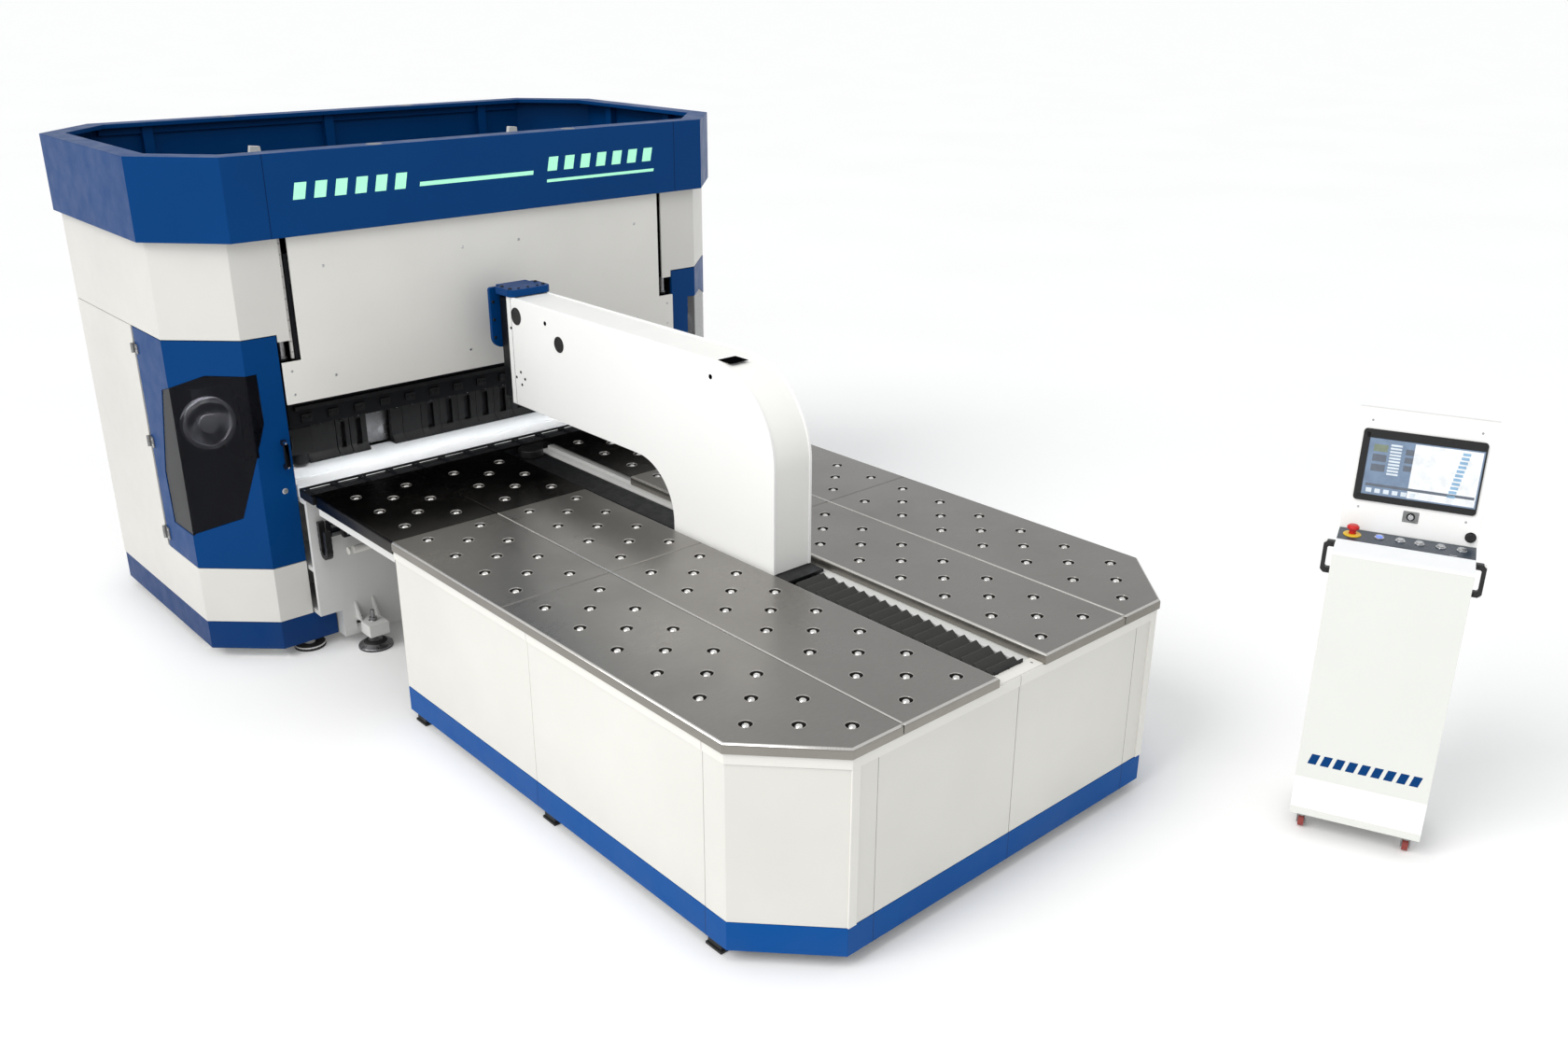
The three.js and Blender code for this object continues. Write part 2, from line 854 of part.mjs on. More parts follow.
function tableFrame() {
  const { inner, outer, depth, posts, rearRail } = TRUSS;
  const beams = posts.map((y) => box([-outer, outer], [y, y + depth], [TRUSS.beamBottom, TRUSS.beamTop]));
  const legs = posts.flatMap((y) => blocks(inner, outer, [y, y + depth], [0, TRUSS.top]));
  const rails = blocks(inner, outer, [posts[0], TABLE.panelRear], [TRUSS.railBottom, TRUSS.top]);
  const rearRails = blocks(
    rearRail.inner,
    rearRail.outer,
    [TABLE.panelRear - 15, rearRail.rear],
    [rearRail.bottom, rearRail.top],
  );
  const notchY = [TABLE.panelRear - 20, TABLE.panelRear + 3];
  const notch = blocks(outer - 1, rearRail.outer + 1, notchY, [0, TRUSS.top]);
  const linkY = [TABLE.panelRear - GAP, TABLE.panelRear + 5];
  const links = blocks(rearRail.inner, outer, linkY, [rearRail.bottom, rearRail.top]);
  const notchedRails = rearRails.map((rail, i) => cut(rail, notch[i]));
  return join(slotChannel(), ...beams, ...legs, ...rails, ...notchedRails, ...links);
}

function seam(x, y, depth = TABLE.seamDepth) {
  return box(x, y, [WORK_HEIGHT - depth, WORK_HEIGHT + 1]);
}

function tablePlate() {
  const outline = [
    [-TABLE.slot, TABLE.front],
    [TABLE.cornerX - TABLE.halfWidth, TABLE.front],
    [-TABLE.halfWidth, TABLE.front + TABLE.cornerY],
    [-TABLE.halfWidth, TABLE.seamRear - GAP],
    [-TABLE.slot, TABLE.seamRear - GAP],
  ];
  const half = TABLE.seamWidth / 2;
  const cross = seam([-TABLE.halfWidth - 1, -TABLE.slot + 1], [TABLE.seamCross - half, TABLE.seamCross + half]);
  const longX = [-TABLE.seamLong - half, -TABLE.seamLong + half];
  const long = seam(longX, [TABLE.front - 1, TABLE.seamRear + 1], TABLE.longSeamDepth);
  const slotRear = outline[4];
  const rimRun = [slotRear, ...outline.slice(0, 4)];
  const rim = wall(rimRun, TABLE.rimWidth, [TABLE.rimBottom, TABLE.plateBottom + 1]);
  return cut(join(prismZ(outline, [TABLE.plateBottom, WORK_HEIGHT]), rim), cross, long);
}

function rearPlate() {
  const rearEdge = TABLE.halfWidth - 3;
  const half = TABLE.seamWidth / 2;
  const top = box([-rearEdge, -TABLE.slot], [TABLE.seamRear, TABLE.rear], [TABLE.plateBottom, WORK_HEIGHT]);
  const fold = box(
    [-rearEdge, -rearEdge + TABLE.edgeWidth],
    [TABLE.panelRear + GAP, TABLE.rear],
    [TABLE.edgeBottom, WORK_HEIGHT],
  );
  const long = seam([-TABLE.seamLong - half, -TABLE.seamLong + half], [TABLE.seamRear - 1, TABLE.rear + 1]);
  return cut(join(top, fold), long);
}

function sidePanel() {
  const x = [-TABLE.panelHalf, -TABLE.panelHalf + TABLE.panelDepth];
  return box(x, [TABLE.sideSeam, TABLE.panelRear], [TABLE.kickTop + GAP, TABLE.panelTop]);
}

function frontPanel() {
  const sideEnd = [-TABLE.panelHalf, TABLE.sideSeam - GAP];
  const run = [[-GAP, TABLE.panelFront], tableCornerFront, tableCornerSide, sideEnd];
  return wall(run, TABLE.panelDepth, [TABLE.kickTop + GAP, TABLE.panelTop]);
}

function tableKick() {
  const left = [tableCornerFront, tableCornerSide, [-TABLE.panelHalf, TABLE.panelRear]];
  const right = left.map(([x, y]) => [-x, y]).reverse();
  return wall([...right, ...left], TABLE.panelDepth, [SOFFIT, TABLE.kickTop], HEAD.kickInset);
}

// ---------------------------------------------------------------- manipulator

function manipulatorArm() {
  const { outerRadius, innerRadius } = ARM;
  const outline = [
    [ARM.end, ARM.top],
    ...arc([ARM.front + outerRadius, ARM.top - outerRadius], outerRadius, 90, 180, 16),
    [ARM.front, ARM.bottom],
    [ARM.back, ARM.bottom],
    ...arc([ARM.back + innerRadius, ARM.underside - innerRadius], innerRadius, 180, 90, 12),
    [ARM.end, ARM.underside],
  ];
  const inside = ARM.halfWidth - ARM.skin;
  const cavity = prismX(offset(outline, -ARM.skin, true), [-inside, inside]);
  const mouthX = [ARM.flange - inside, inside - ARM.flange];
  const mouthY = [ARM.front + ARM.skin + ARM.flange, ARM.back - ARM.skin - ARM.flange];
  const mouth = box(mouthX, mouthY, [ARM.bottom - 1, ARM.bottom + ARM.skin + 1]);
  return cut(prismX(outline, [-ARM.halfWidth, ARM.halfWidth]), cavity, mouth);
}

function manipulatorCarriage() {
  const { halfWidth, neck, jaw, front, neckFront, rear, jawRear, bottom, jawBottom, top, plate } = CARRIAGE;
  const footPlate = box([-halfWidth, halfWidth], [front, rear], [top - plate, top]);
  const body = box([-neck, neck], [neckFront, rear], [bottom, top - 1]);
  const lowerJaw = box([-jaw, jaw], [rear - 1, jawRear], [jawBottom, top - plate]);
  return join(footPlate, body, lowerJaw);
}

function endBracket() {
  const { half, cut: corner, front, back, bottom, top, lap, plateHalf, plateFront, plateBottom } = END_BRACKET;
  const cap = prismZ([
    [-half + corner, front],
    [half - corner, front],
    [half, front + corner],
    [half, back],
    [-half, back],
    [-half, front + corner],
  ], [bottom, top]);
  const plate = box([-plateHalf, plateHalf], [plateFront, back], [plateBottom, bottom + lap]);
  return join(cap, plate);
}

function clampRam() {
  const { y, ramHalf, ramFront, ramBack, ramTop, spigot, spigotLength, discTop } = CLAMP;
  const bottom = discTop + GAP + spigotLength;
  const column = box([-ramHalf, ramHalf], [ramFront, ramBack], [bottom, ramTop]);
  return join(column, postZ(spigot, 0, y, [discTop + GAP, bottom + 1]));
}

function clampDisc() {
  const { radius, discBottom, discTop, bevel, y } = CLAMP;
  return turned([
    [0, discBottom],
    [radius - bevel, discBottom],
    [radius, discBottom + bevel],
    [radius, discTop],
    [0, discTop],
  ], 0, y, 36);
}

function rotatorDisc() {
  const bottom = CARRIAGE.top - CARRIAGE.plate + GAP;
  const top = WORK_HEIGHT + 1;
  const { radius, rotatorBevel, y } = CLAMP;
  return turned([
    [0, bottom],
    [radius, bottom],
    [radius, top - rotatorBevel],
    [radius - rotatorBevel, top],
    [0, top],
  ], 0, y, 36);
}

function slotBellows() {
  const { half, front, rear, base, valley, crest, folds } = BELLOWS;
  const pitch = (rear - front) / folds;
  const pleats = Array.from({ length: folds }, (_, i) => {
    const y = front + i * pitch;
    return [[y, valley], [y + pitch * 0.35, crest], [y + pitch * 0.65, crest]];
  }).flat();
  return prismX([[front, base], ...pleats, [rear, valley], [rear, base]], [-half, half]);
}

// ---------------------------------------------------------------- console

const consoleGroup = new THREE.Group();
consoleGroup.position.set(CONSOLE.x, CONSOLE.y, 0);
consoleGroup.rotation.z = THREE.MathUtils.degToRad(CONSOLE.turn);
machine.add(consoleGroup);

// The sloping display face: its own origin is at the foot of the slope, on the centre line.
const faceGroup = new THREE.Group();
faceGroup.position.set(0, CONSOLE.shelfDepth, CONSOLE.shelf);
faceGroup.rotation.x = -Math.atan2(CONSOLE.topDepth - CONSOLE.shelfDepth, CONSOLE.top - CONSOLE.shelf);
consoleGroup.add(faceGroup);

function casterFork(x, y) {
  const { cheek, cheekOuter, cheekHalf, cheekBottom, crown, crownDepth, swivel, trail } = WHEEL;
  const post = postZ(swivel, x, y, [crown, CONSOLE.bottom - GAP], 20);
  const bridgeY = [y - cheekHalf - GAP, y + trail + cheekHalf];
  const bridge = box([x - cheekOuter, x + cheekOuter], bridgeY, [crown - 1, crown + crownDepth]);
  const cheeks = [-1, 1].map((side) => {
    const span = [x + side * cheek, x + side * cheekOuter].sort((a, b) => a - b);
    return box(span, [y + trail - cheekHalf, y + trail + cheekHalf], [cheekBottom, crown]);
  });
  return join(post, bridge, ...cheeks);
}

function casterWheel(x, y) {
  const { radius, half, hub, trail, cheek } = WHEEL;
  const centreY = y + trail;
  const tread = rollX(radius, [x - half, x + half], centreY, radius, 32);
  const axle = rollX(hub, [x - cheek + 0.6, x + cheek - 0.6], centreY, radius, 16);
  return join(tread, axle);
}

function consoleOutline(inset) {
  const outline = [
    [0, CONSOLE.bottom],
    [CONSOLE.back, CONSOLE.bottom],
    [CONSOLE.back, CONSOLE.backTop],
    [CONSOLE.topBack, CONSOLE.top - 7],
    [CONSOLE.topDepth, CONSOLE.top],
    [CONSOLE.shelfDepth, CONSOLE.shelf],
    [0, CONSOLE.shelf],
  ];
  return offset(outline, -inset, true);
}

function buttonPocket(x, y, radius) {
  return postZ(radius + BUTTONS.clearance, x, y, [CONSOLE.shelf - BUTTONS.pocket, CONSOLE.shelf + 1], 20);
}

function consoleGrips() {
  const { reach, bar, post, bottom, top, front, back } = GRIP;
  const side = CONSOLE.halfWidth - 1;
  return [
    ...blocks(side, reach, [front, back], [bottom, bottom + post]),
    ...blocks(side, reach, [front, back], [top - post, top]),
    ...blocks(reach - bar, reach, [front, back], [bottom, top]),
  ];
}

function consoleCabinet() {
  const { halfWidth, wall: skin, bottom, shelf, back, casterX, casterY, seat, collar } = CONSOLE;
  const shell = prismX(consoleOutline(0), [-halfWidth, halfWidth]);
  const inside = box([skin - halfWidth, halfWidth - skin], [skin, back - skin], [bottom - 1, shelf - skin]);
  const pockets = [
    buttonPocket(BUTTONS.stop.x, BUTTONS.stop.y, BUTTONS.stop.stem),
    ...[BUTTONS.lit, ...BUTTONS.silver].map((x) => buttonPocket(x, BUTTONS.y, BUTTONS.radius)),
  ];
  const seatY = [casterY[1] - seat.front, back - seat.back];
  const seats = blocks(halfWidth - seat.inner, halfWidth - seat.outer, seatY, [bottom, bottom + seat.height]);
  const body = cut(cut(shell, inside), ...pockets);
  const fixedForks = [-1, 1].map((side) => casterFork(side * casterX, casterY[1]));
  const collars = [-1, 1].map((side) => {
    return postZ(collar.radius, side * casterX, casterY[1], [bottom - collar.below, bottom + collar.above], 16);
  });
  return join(body, ...seats, ...fixedForks, ...collars, ...consoleGrips());
}

function pushButton(x) {
  const bottom = CONSOLE.shelf - BUTTONS.pocket + 4;
  return postZ(BUTTONS.radius, x, BUTTONS.y, [bottom, CONSOLE.shelf + BUTTONS.height], 24);
}

function emergencyStop() {
  const { x, y, cap, stem, height } = BUTTONS.stop;
  const bottom = CONSOLE.shelf - BUTTONS.pocket + 6;
  const top = CONSOLE.shelf + height;
  return turned([
    [0, bottom],
    [stem, bottom],
    [stem, top - 18],
    [cap, top - 16],
    [cap, top - 8],
    [cap - 7, top - 1],
    [0, top],
  ], x, y, 28);
}

function monitor() {
  const { x, z, depth } = FACE.monitor;
  return box(x, [-depth, -GAP / 2], z);
}

function keySwitch() {
  const { x, z, radius, length } = FACE.key;
  const barrel = discY(radius, x, [-length, -GAP / 2], z, 24);
  const bow = box([x - 2, x + 2], [-length - 18, -length + 1], [z - 9, z + 9]);
  return join(barrel, bow);
}

function selectorKnob() {
  const { x, z, radius, length } = FACE.knob;
  const body = discY(radius, x, [-length, -GAP / 2], z, 28);
  const ridge = box([x - 3, x + 3], [-length - 5, -length + 1], [z - radius + 2, z + radius - 2]);
  return join(body, ridge);
}

// ---------------------------------------------------------------- putting it together

add('base_frame', baseFrame(), 'structure');
addPair('side_frame', sideFrame(), 'structure');
add('clamping_bed', clampingBed(), 'bed');
add('roller_strip', rollerStrip(), 'black');
addPair('tower_cover', towerCover(), 'white');
addPair('side_cover', sideCover(), 'white');
add('head_kick', headKick(), 'kick');
add('rear_cover', rearCover(), 'white');
add('crown_fascia', crownFascia(), 'blue');
add('head_roof', headRoof(), 'dark');
addPair('tower_door', towerDoor(), 'blue');
addPair('door_window', doorWindow(), 'glass');

add('upper_beam', upperBeam(), 'dark');
add('ram_cover', ramCover(), 'white');
add('tool_bank_left', leftTools(), 'dark');
add('tool_bank_main', mainTools(), 'dark');
addPair('lift_pulley', liftPulley(), 'darkSteel');
add('blade_carriage', bladeCarriage(), 'dark');
add('blade_frame', bladeFrame(), 'darkSteel');

add('table_frame', tableFrame(), 'white');
addPair('table_plate', tablePlate(), 'steel');
addPair('rear_plate', rearPlate(), 'darkSteel');
addPair('side_panel', sidePanel(), 'white');
addPair('front_panel', frontPanel(), 'white');
add('table_kick', tableKick(), 'kick');
addPair('levelling_foot', levellingFoot(), 'darkSteel');

add('manipulator_carriage', manipulatorCarriage(), 'black');
add('manipulator_arm', manipulatorArm(), 'white');
add('arm_end_bracket', endBracket(), 'blue');
add('clamp_ram', clampRam(), 'black');
add('clamp_disc', clampDisc(), 'darkSteel');
add('rotator_disc', rotatorDisc(), 'darkSteel');
add('slot_bellows', slotBellows(), 'bellows');

add('console_cabinet', consoleCabinet(), 'white', consoleGroup);
add('console_monitor', monitor(), 'screen', faceGroup);
add('key_switch', keySwitch(), 'silver', faceGroup);
add('selector_knob', selectorKnob(), 'black', faceGroup);
add('emergency_stop', emergencyStop(), 'red', consoleGroup);
add('lit_button', pushButton(BUTTONS.lit), 'lit', consoleGroup);
BUTTONS.silver.forEach((x, i) => add(`push_button_${i + 1}`, pushButton(x), 'silver', consoleGroup));

for (const [side, name] of [[-1, 'left'], [1, 'right']]) {
  const x = side * CONSOLE.casterX;
  add(`caster_fork_${name}`, casterFork(x, CONSOLE.casterY[0]), 'silver', consoleGroup);
  add(`front_wheel_${name}`, casterWheel(x, CONSOLE.casterY[0]), 'tyre', consoleGroup);
  add(`rear_wheel_${name}`, casterWheel(x, CONSOLE.casterY[1]), 'tyre', consoleGroup);
}

// The origin goes to the bottom centre of the bounding box, to the nearest millimetre.
machine.updateMatrixWorld(true);
const bounds = new THREE.Box3().setFromObject(machine, true);
const centre = bounds.getCenter(new THREE.Vector3());
machine.position.set(0, -Math.round(centre.y), 0);
machine.updateMatrixWorld(true);

export default machine;
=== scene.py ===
"""Looks for the folding centre: materials, fine pieces, floor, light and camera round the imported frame."""
import itertools
import json
import math

import bmesh
import bpy
from mathutils import Matrix, Vector


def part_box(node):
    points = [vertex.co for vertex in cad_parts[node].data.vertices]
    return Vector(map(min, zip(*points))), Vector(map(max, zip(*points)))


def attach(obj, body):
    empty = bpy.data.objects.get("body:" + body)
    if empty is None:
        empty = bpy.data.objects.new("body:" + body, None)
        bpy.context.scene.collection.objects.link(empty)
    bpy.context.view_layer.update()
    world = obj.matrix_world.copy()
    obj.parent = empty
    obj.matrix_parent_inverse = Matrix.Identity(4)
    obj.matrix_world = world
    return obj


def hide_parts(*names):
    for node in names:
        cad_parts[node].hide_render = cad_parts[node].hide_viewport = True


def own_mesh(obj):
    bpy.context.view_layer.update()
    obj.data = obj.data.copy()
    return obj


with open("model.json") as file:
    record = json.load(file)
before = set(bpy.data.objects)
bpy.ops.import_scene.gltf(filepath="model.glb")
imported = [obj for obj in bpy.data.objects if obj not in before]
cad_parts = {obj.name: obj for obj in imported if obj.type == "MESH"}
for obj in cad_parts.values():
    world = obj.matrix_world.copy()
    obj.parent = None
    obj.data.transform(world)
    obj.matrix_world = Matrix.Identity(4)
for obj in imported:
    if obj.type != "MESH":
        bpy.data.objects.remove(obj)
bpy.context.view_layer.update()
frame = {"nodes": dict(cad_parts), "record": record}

# Everything below is written in millimetres with y = 0 at the front face of the crown.
CROWN_LOW, CROWN_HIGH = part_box("crown_fascia")
FRONT = CROWN_LOW.y
SIDES = ((-1, "left"), (1, "right"))
UP, FORWARD, BACKWARD = (0, 0, 1), (0, -1, 0), (0, 1, 0)


def place(x, y, z):
    """A point of the machine, in metres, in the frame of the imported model."""
    return Vector((x / 1000, FRONT + y / 1000, z / 1000))


def back_to_mm(point):
    """The millimetres used here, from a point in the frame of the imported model."""
    return point.x * 1000, (point.y - FRONT) * 1000, point.z * 1000


def span(node):
    """Lowest and highest corner of a CAD node, in the millimetres used here."""
    low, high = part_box(node)
    return back_to_mm(low), back_to_mm(high)


def about(middle, half):
    return middle - half, middle + half


def across(side, near, far):
    """A span of x values on one side of the centre plane, lowest first."""
    return sorted((side * near, side * far))


def rect(x, y):
    """The four corners of a rectangle, from its span in either direction."""
    return [(x[0], y[0]), (x[1], y[0]), (x[1], y[1]), (x[0], y[1])]


def arc(cx, cy, radius, start, end, steps):
    turns = [math.radians(start + (end - start) * i / steps) for i in range(steps + 1)]
    return [(cx + radius * math.cos(t), cy + radius * math.sin(t)) for t in turns]


def rounded(x0, x1, y0, y1, radius, steps=6):
    """A rectangle with round corners."""
    centres = ((x0 + radius, y0 + radius), (x1 - radius, y0 + radius),
               (x1 - radius, y1 - radius), (x0 + radius, y1 - radius))
    turns = (180, 270, 0, 90)
    corners = [arc(x, y, radius, turn, turn + 90, steps) for (x, y), turn in zip(centres, turns)]
    return [point for corner in corners for point in corner]


def circle(centre, side, up, radius, segments):
    """Points round a centre, in the plane of two unit vectors."""
    turns = [2 * math.pi * k / segments for k in range(segments)]
    return [tuple(centre + (side * math.cos(t) + up * math.sin(t)) * radius) for t in turns]


def new_object(name, data):
    obj = bpy.data.objects.new(name, data)
    bpy.context.scene.collection.objects.link(obj)
    return obj


# ---- materials


def linear(rgb):
    """Scene-linear colour from a screen colour of 0 to 255."""
    values = [c / 255 for c in rgb]
    return tuple(c / 12.92 if c <= 0.04045 else ((c + 0.055) / 1.055) ** 2.4 for c in values) + (1.0,)


def scaled(colour, factor):
    return tuple(min(1.0, c * factor) for c in colour[:3]) + (1.0,)


class Nodes:
    """A small builder for a procedural material."""

    def __init__(self, name):
        self.material = bpy.data.materials.new(name)
        self.material.use_nodes = True
        self.tree = self.material.node_tree
        self.shader = self.tree.nodes["Principled BSDF"]
        self.coords = self.add("ShaderNodeTexCoord", "Object", {})

    def link(self, source, socket):
        self.tree.links.new(source, self.shader.inputs[socket])

    def add(self, kind, output, inputs, **settings):
        """One node. Outputs of other nodes are linked to its sockets; plain values are set on them."""
        made = self.tree.nodes.new(kind)
        for key, value in settings.items():
            setattr(made, key, value)
        for socket, value in inputs.items():
            if isinstance(value, bpy.types.NodeSocket):
                self.tree.links.new(value, made.inputs[socket])
            else:
                made.inputs[socket].default_value = value
        return made.outputs[output]

    def mapped(self, scale):
        return self.add("ShaderNodeMapping", "Vector", {"Vector": self.coords, "Scale": scale})

    def noise(self, scale, detail=3.0, rough=0.5, vector=None):
        inputs = {"Vector": vector or self.coords, "Scale": scale, "Detail": detail, "Roughness": rough}
        return self.add("ShaderNodeTexNoise", "Fac", inputs)

    def threads(self, direction):
        inputs = {"Vector": self.coords, "Scale": 420.0}
        return self.add("ShaderNodeTexWave", "Fac", inputs, wave_type="BANDS", bands_direction=direction)

    def ranged(self, value, low, high, to_low=0.0, to_high=1.0):
        inputs = {"Value": value, "From Min": low, "From Max": high, "To Min": to_low, "To Max": to_high}
        return self.add("ShaderNodeMapRange", "Result", inputs, clamp=True)

    def mixed(self, factor, first, second):
        return self.add("ShaderNodeMix", 2, {0: factor, 6: first, 7: second}, data_type="RGBA")

    def maths(self, operation, first, second):
        return self.add("ShaderNodeMath", 0, {0: first, 1: second}, operation=operation)

    def bump(self, height, strength, distance, normal=None):
        inputs = {"Height": height, "Strength": strength, "Distance": distance}
        if normal:
            inputs["Normal"] = normal
        return self.add("ShaderNodeBump", "Normal", inputs)

    def fixed(self, **values):
        for key, value in values.items():
            self.shader.inputs[key.replace("_", " ")].default_value = value

    def done(self, colour, roughness, normal):
        self.link(colour, "Base Color")
        self.link(roughness, "Roughness")
        self.link(normal, "Normal")
        return self.material


def grime(n):
    """Where dust gathers: low down on the machine, broken up by large noise."""
    height = n.add("ShaderNodeSeparateXYZ", "Z", {"Vector": n.coords})
    low = n.ranged(height, 0.05, 0.45, 1.0, 0.0)
    return n.maths("MULTIPLY", low, n.ranged(n.noise(3.2, 4.0), 0.35, 0.7, 0.15))


def powder_coat(name, rgb, roughness=0.42, strength=0.08, variation=0.04, dust=0.10, gloss=0.4,
                scuffs=0.10):
    """Sprayed and baked paint: orange peel, slow colour drift, fine scuffs and dust near the floor."""
    n = Nodes(name)
    base = linear(rgb)
    drift = n.ranged(n.noise(1.3), 0.3, 0.7)
    colour = n.mixed(drift, scaled(base, 1 - variation), scaled(base, 1 + variation))
    marks = n.ranged(n.noise(38.0, 6.0, 0.7, n.mapped((1.0, 1.0, 0.25))), 0.62, 0.75, 0.0, scuffs)
    colour = n.mixed(marks, colour, scaled(base, 0.7))
    colour = n.mixed(n.maths("MULTIPLY", grime(n), dust), colour, linear(DUST))
    rough = n.ranged(n.noise(9.0, 5.0, 0.6), 0.3, 0.7, roughness - 0.06, roughness + 0.08)
    peel = n.bump(n.noise(260.0, 2.0), strength, 0.0006)
    n.fixed(IOR=1.5, Specular_IOR_Level=gloss)
    return n.done(colour, rough, n.bump(n.noise(1.1, 1.0), 0.25, 0.004, peel))


def brushed(name, rgb, roughness=0.3, stain=0.10):
    """Rolled or brushed metal: fine lines along the grain, hand marks and a slow tone change."""
    n = Nodes(name)
    base = linear(rgb)
    lines = n.noise(22.0, 8.0, 0.75, n.mapped((1.0, 22.0, 22.0)))
    cloud = n.noise(2.1, 5.0, 0.6)
    colour = n.mixed(n.ranged(lines, 0.3, 0.7), scaled(base, 0.88), scaled(base, 1.1))
    colour = n.mixed(n.ranged(cloud, 0.4, 0.7, 0.0, stain), colour, scaled(base, 0.62))
    marks = n.ranged(cloud, 0.35, 0.7, roughness - 0.04, roughness + 0.08)
    rough = n.maths("ADD", marks, n.ranged(lines, 0.3, 0.7, -0.03, 0.05))
    n.fixed(Metallic=1.0, Anisotropic=0.3)
    return n.done(colour, rough, n.bump(lines, 0.02, 0.0004))


def machined(name, rgb, roughness=0.28, rust=0.0, metal=1.0, scale=150.0):
    """Ground or cast metal parts: small grinding marks, oily patches and darker pits."""
    n = Nodes(name)
    base = linear(rgb)
    patch = n.noise(14.0, 5.0, 0.65)
    grain = n.noise(scale, 4.0, 0.6, n.mapped((1.0, 3.0, 0.4)))
    colour = n.mixed(n.ranged(patch, 0.4, 0.65), base, scaled(base, 0.72))
    colour = n.mixed(n.ranged(grain, 0.55, 0.8, 0.0, 0.5), colour, scaled(base, 1.4))
    if rust:
        colour = n.mixed(n.ranged(n.noise(31.0, 6.0, 0.7), 0.6, 0.72, 0.0, rust), colour, linear(RUST))
    n.fixed(Metallic=metal)
    rough = n.ranged(patch, 0.3, 0.7, roughness - 0.08, roughness + 0.14)
    return n.done(colour, rough, n.bump(grain, 0.12, 0.0005))


def moulded(name, rgb, roughness=0.45, strength=0.2, wear=0.12):
    """Moulded plastic or rubber: fine spark texture with polished and dusty patches."""
    n = Nodes(name)
    base = linear(rgb)
    patch = n.noise(24.0, 5.0, 0.65)
    colour = n.mixed(n.ranged(patch, 0.42, 0.7), base, scaled(base, 0.8))
    colour = n.mixed(n.ranged(n.noise(60.0, 6.0, 0.7), 0.6, 0.75, 0.0, wear), colour, linear(WORN))
    rough = n.ranged(patch, 0.3, 0.7, roughness - 0.08, roughness + 0.1)
    return n.done(colour, rough, n.bump(n.noise(900.0, 2.0), strength, 0.0003))


def cloth(name, rgb):
    """Coated bellows cloth: a fine weave under a matt rubber coat."""
    n = Nodes(name)
    base = linear(rgb)
    weave = n.maths("ADD", n.threads("X"), n.threads("Y"))
    cloud = n.noise(19.0, 5.0)
    colour = n.mixed(n.ranged(cloud, 0.35, 0.7), base, scaled(base, 1.8))
    n.fixed(Sheen_Weight=0.15)
    return n.done(colour, n.ranged(cloud, 0.3, 0.7, 0.55, 0.75), n.bump(weave, 0.3, 0.0004))


def smoked(name, rgb, alpha, shine=0.12):
    """Tinted polycarbonate: clear enough to see the drive behind it, with light smears."""
    n = Nodes(name)
    base = linear(rgb)
    smear = n.noise(6.0, 5.0, 0.7, n.mapped((1.0, 1.0, 0.3)))
    colour = n.mixed(n.ranged(smear, 0.3, 0.7), base, scaled(base, 1.5))
    n.link(n.ranged(smear, 0.3, 0.75, alpha - 0.04, alpha + 0.06), "Alpha")
    n.fixed(IOR=1.52, Specular_IOR_Level=shine)
    return n.done(colour, n.ranged(smear, 0.4, 0.75, 0.03, 0.12), n.bump(n.noise(2.4, 2.0), 0.1, 0.002))


def glowing(name, rgb, power):
    """A lit plastic insert with a slightly uneven glow."""
    n = Nodes(name)
    base = linear(rgb)
    cloud = n.noise(30.0)
    colour = n.mixed(n.ranged(cloud, 0.3, 0.7), scaled(base, 0.92), base)
    n.link(colour, "Emission Color")
    n.fixed(Emission_Strength=power)
    return n.done(colour, n.ranged(cloud, 0.3, 0.7, 0.3, 0.45), n.bump(cloud, 0.05, 0.0003))


DUST, RUST, WORN = (120, 112, 98), (92, 66, 44), (150, 146, 140)

# White and pale paint
WHITE = powder_coat("powder_white", (231, 229, 223))
# Painted shade: a darker copy of the white paint for the towers and the strips in the ram slits, where less
# light falls.
TOWER_SHADED_WHITE = powder_coat("tower_white_painted_shade", (214, 212, 207))
PANEL_WHITE = powder_coat("table_white", (230, 228, 222))
# Painted shade: a darker copy of the table white for the recessed fields of the panels.
RECESS_SHADE_WHITE = powder_coat("table_field_painted_shade", (221, 219, 213))
WHITE_BRIGHT = powder_coat("powder_white_clean", (240, 240, 236), variation=0.02, dust=0.03)
# Painted shade: a darker copy of the console white for its upright front.
CONSOLE_FRONT_SHADE = powder_coat("console_front_painted_shade", (228, 229, 224), variation=0.02, dust=0.02)
ARM_EDGE = powder_coat("arm_edge_white", (248, 247, 243), variation=0.02, dust=0.02)
# Painted light: a paler copy of the white for the console's sloping face and the arm's sides, which catch
# more light.
LIT_FACE_WHITE = powder_coat("white_face_painted_light", (252, 252, 250), variation=0.01, dust=0.0)
SMOOTH = {"roughness": 0.6, "strength": 0.01, "dust": 0.0, "gloss": 0.25, "scuffs": 0.0}
LEDGE = powder_coat("ledge_white", (248, 249, 250), variation=0.006, **SMOOTH)
BED = powder_coat("bed_ground", (246, 249, 252), variation=0.008, **SMOOTH)
STRUCTURE = powder_coat("frame_coat", (214, 214, 212), roughness=0.5, dust=0.2)
SILVER_PAINT = powder_coat("silver_paint", (196, 198, 206), roughness=0.4, dust=0.02)
SEAM = powder_coat("seam_shadow", (120, 116, 108), roughness=0.6)
DASH = powder_coat("pale_dash", (225, 228, 230), roughness=0.35, dust=0.0)

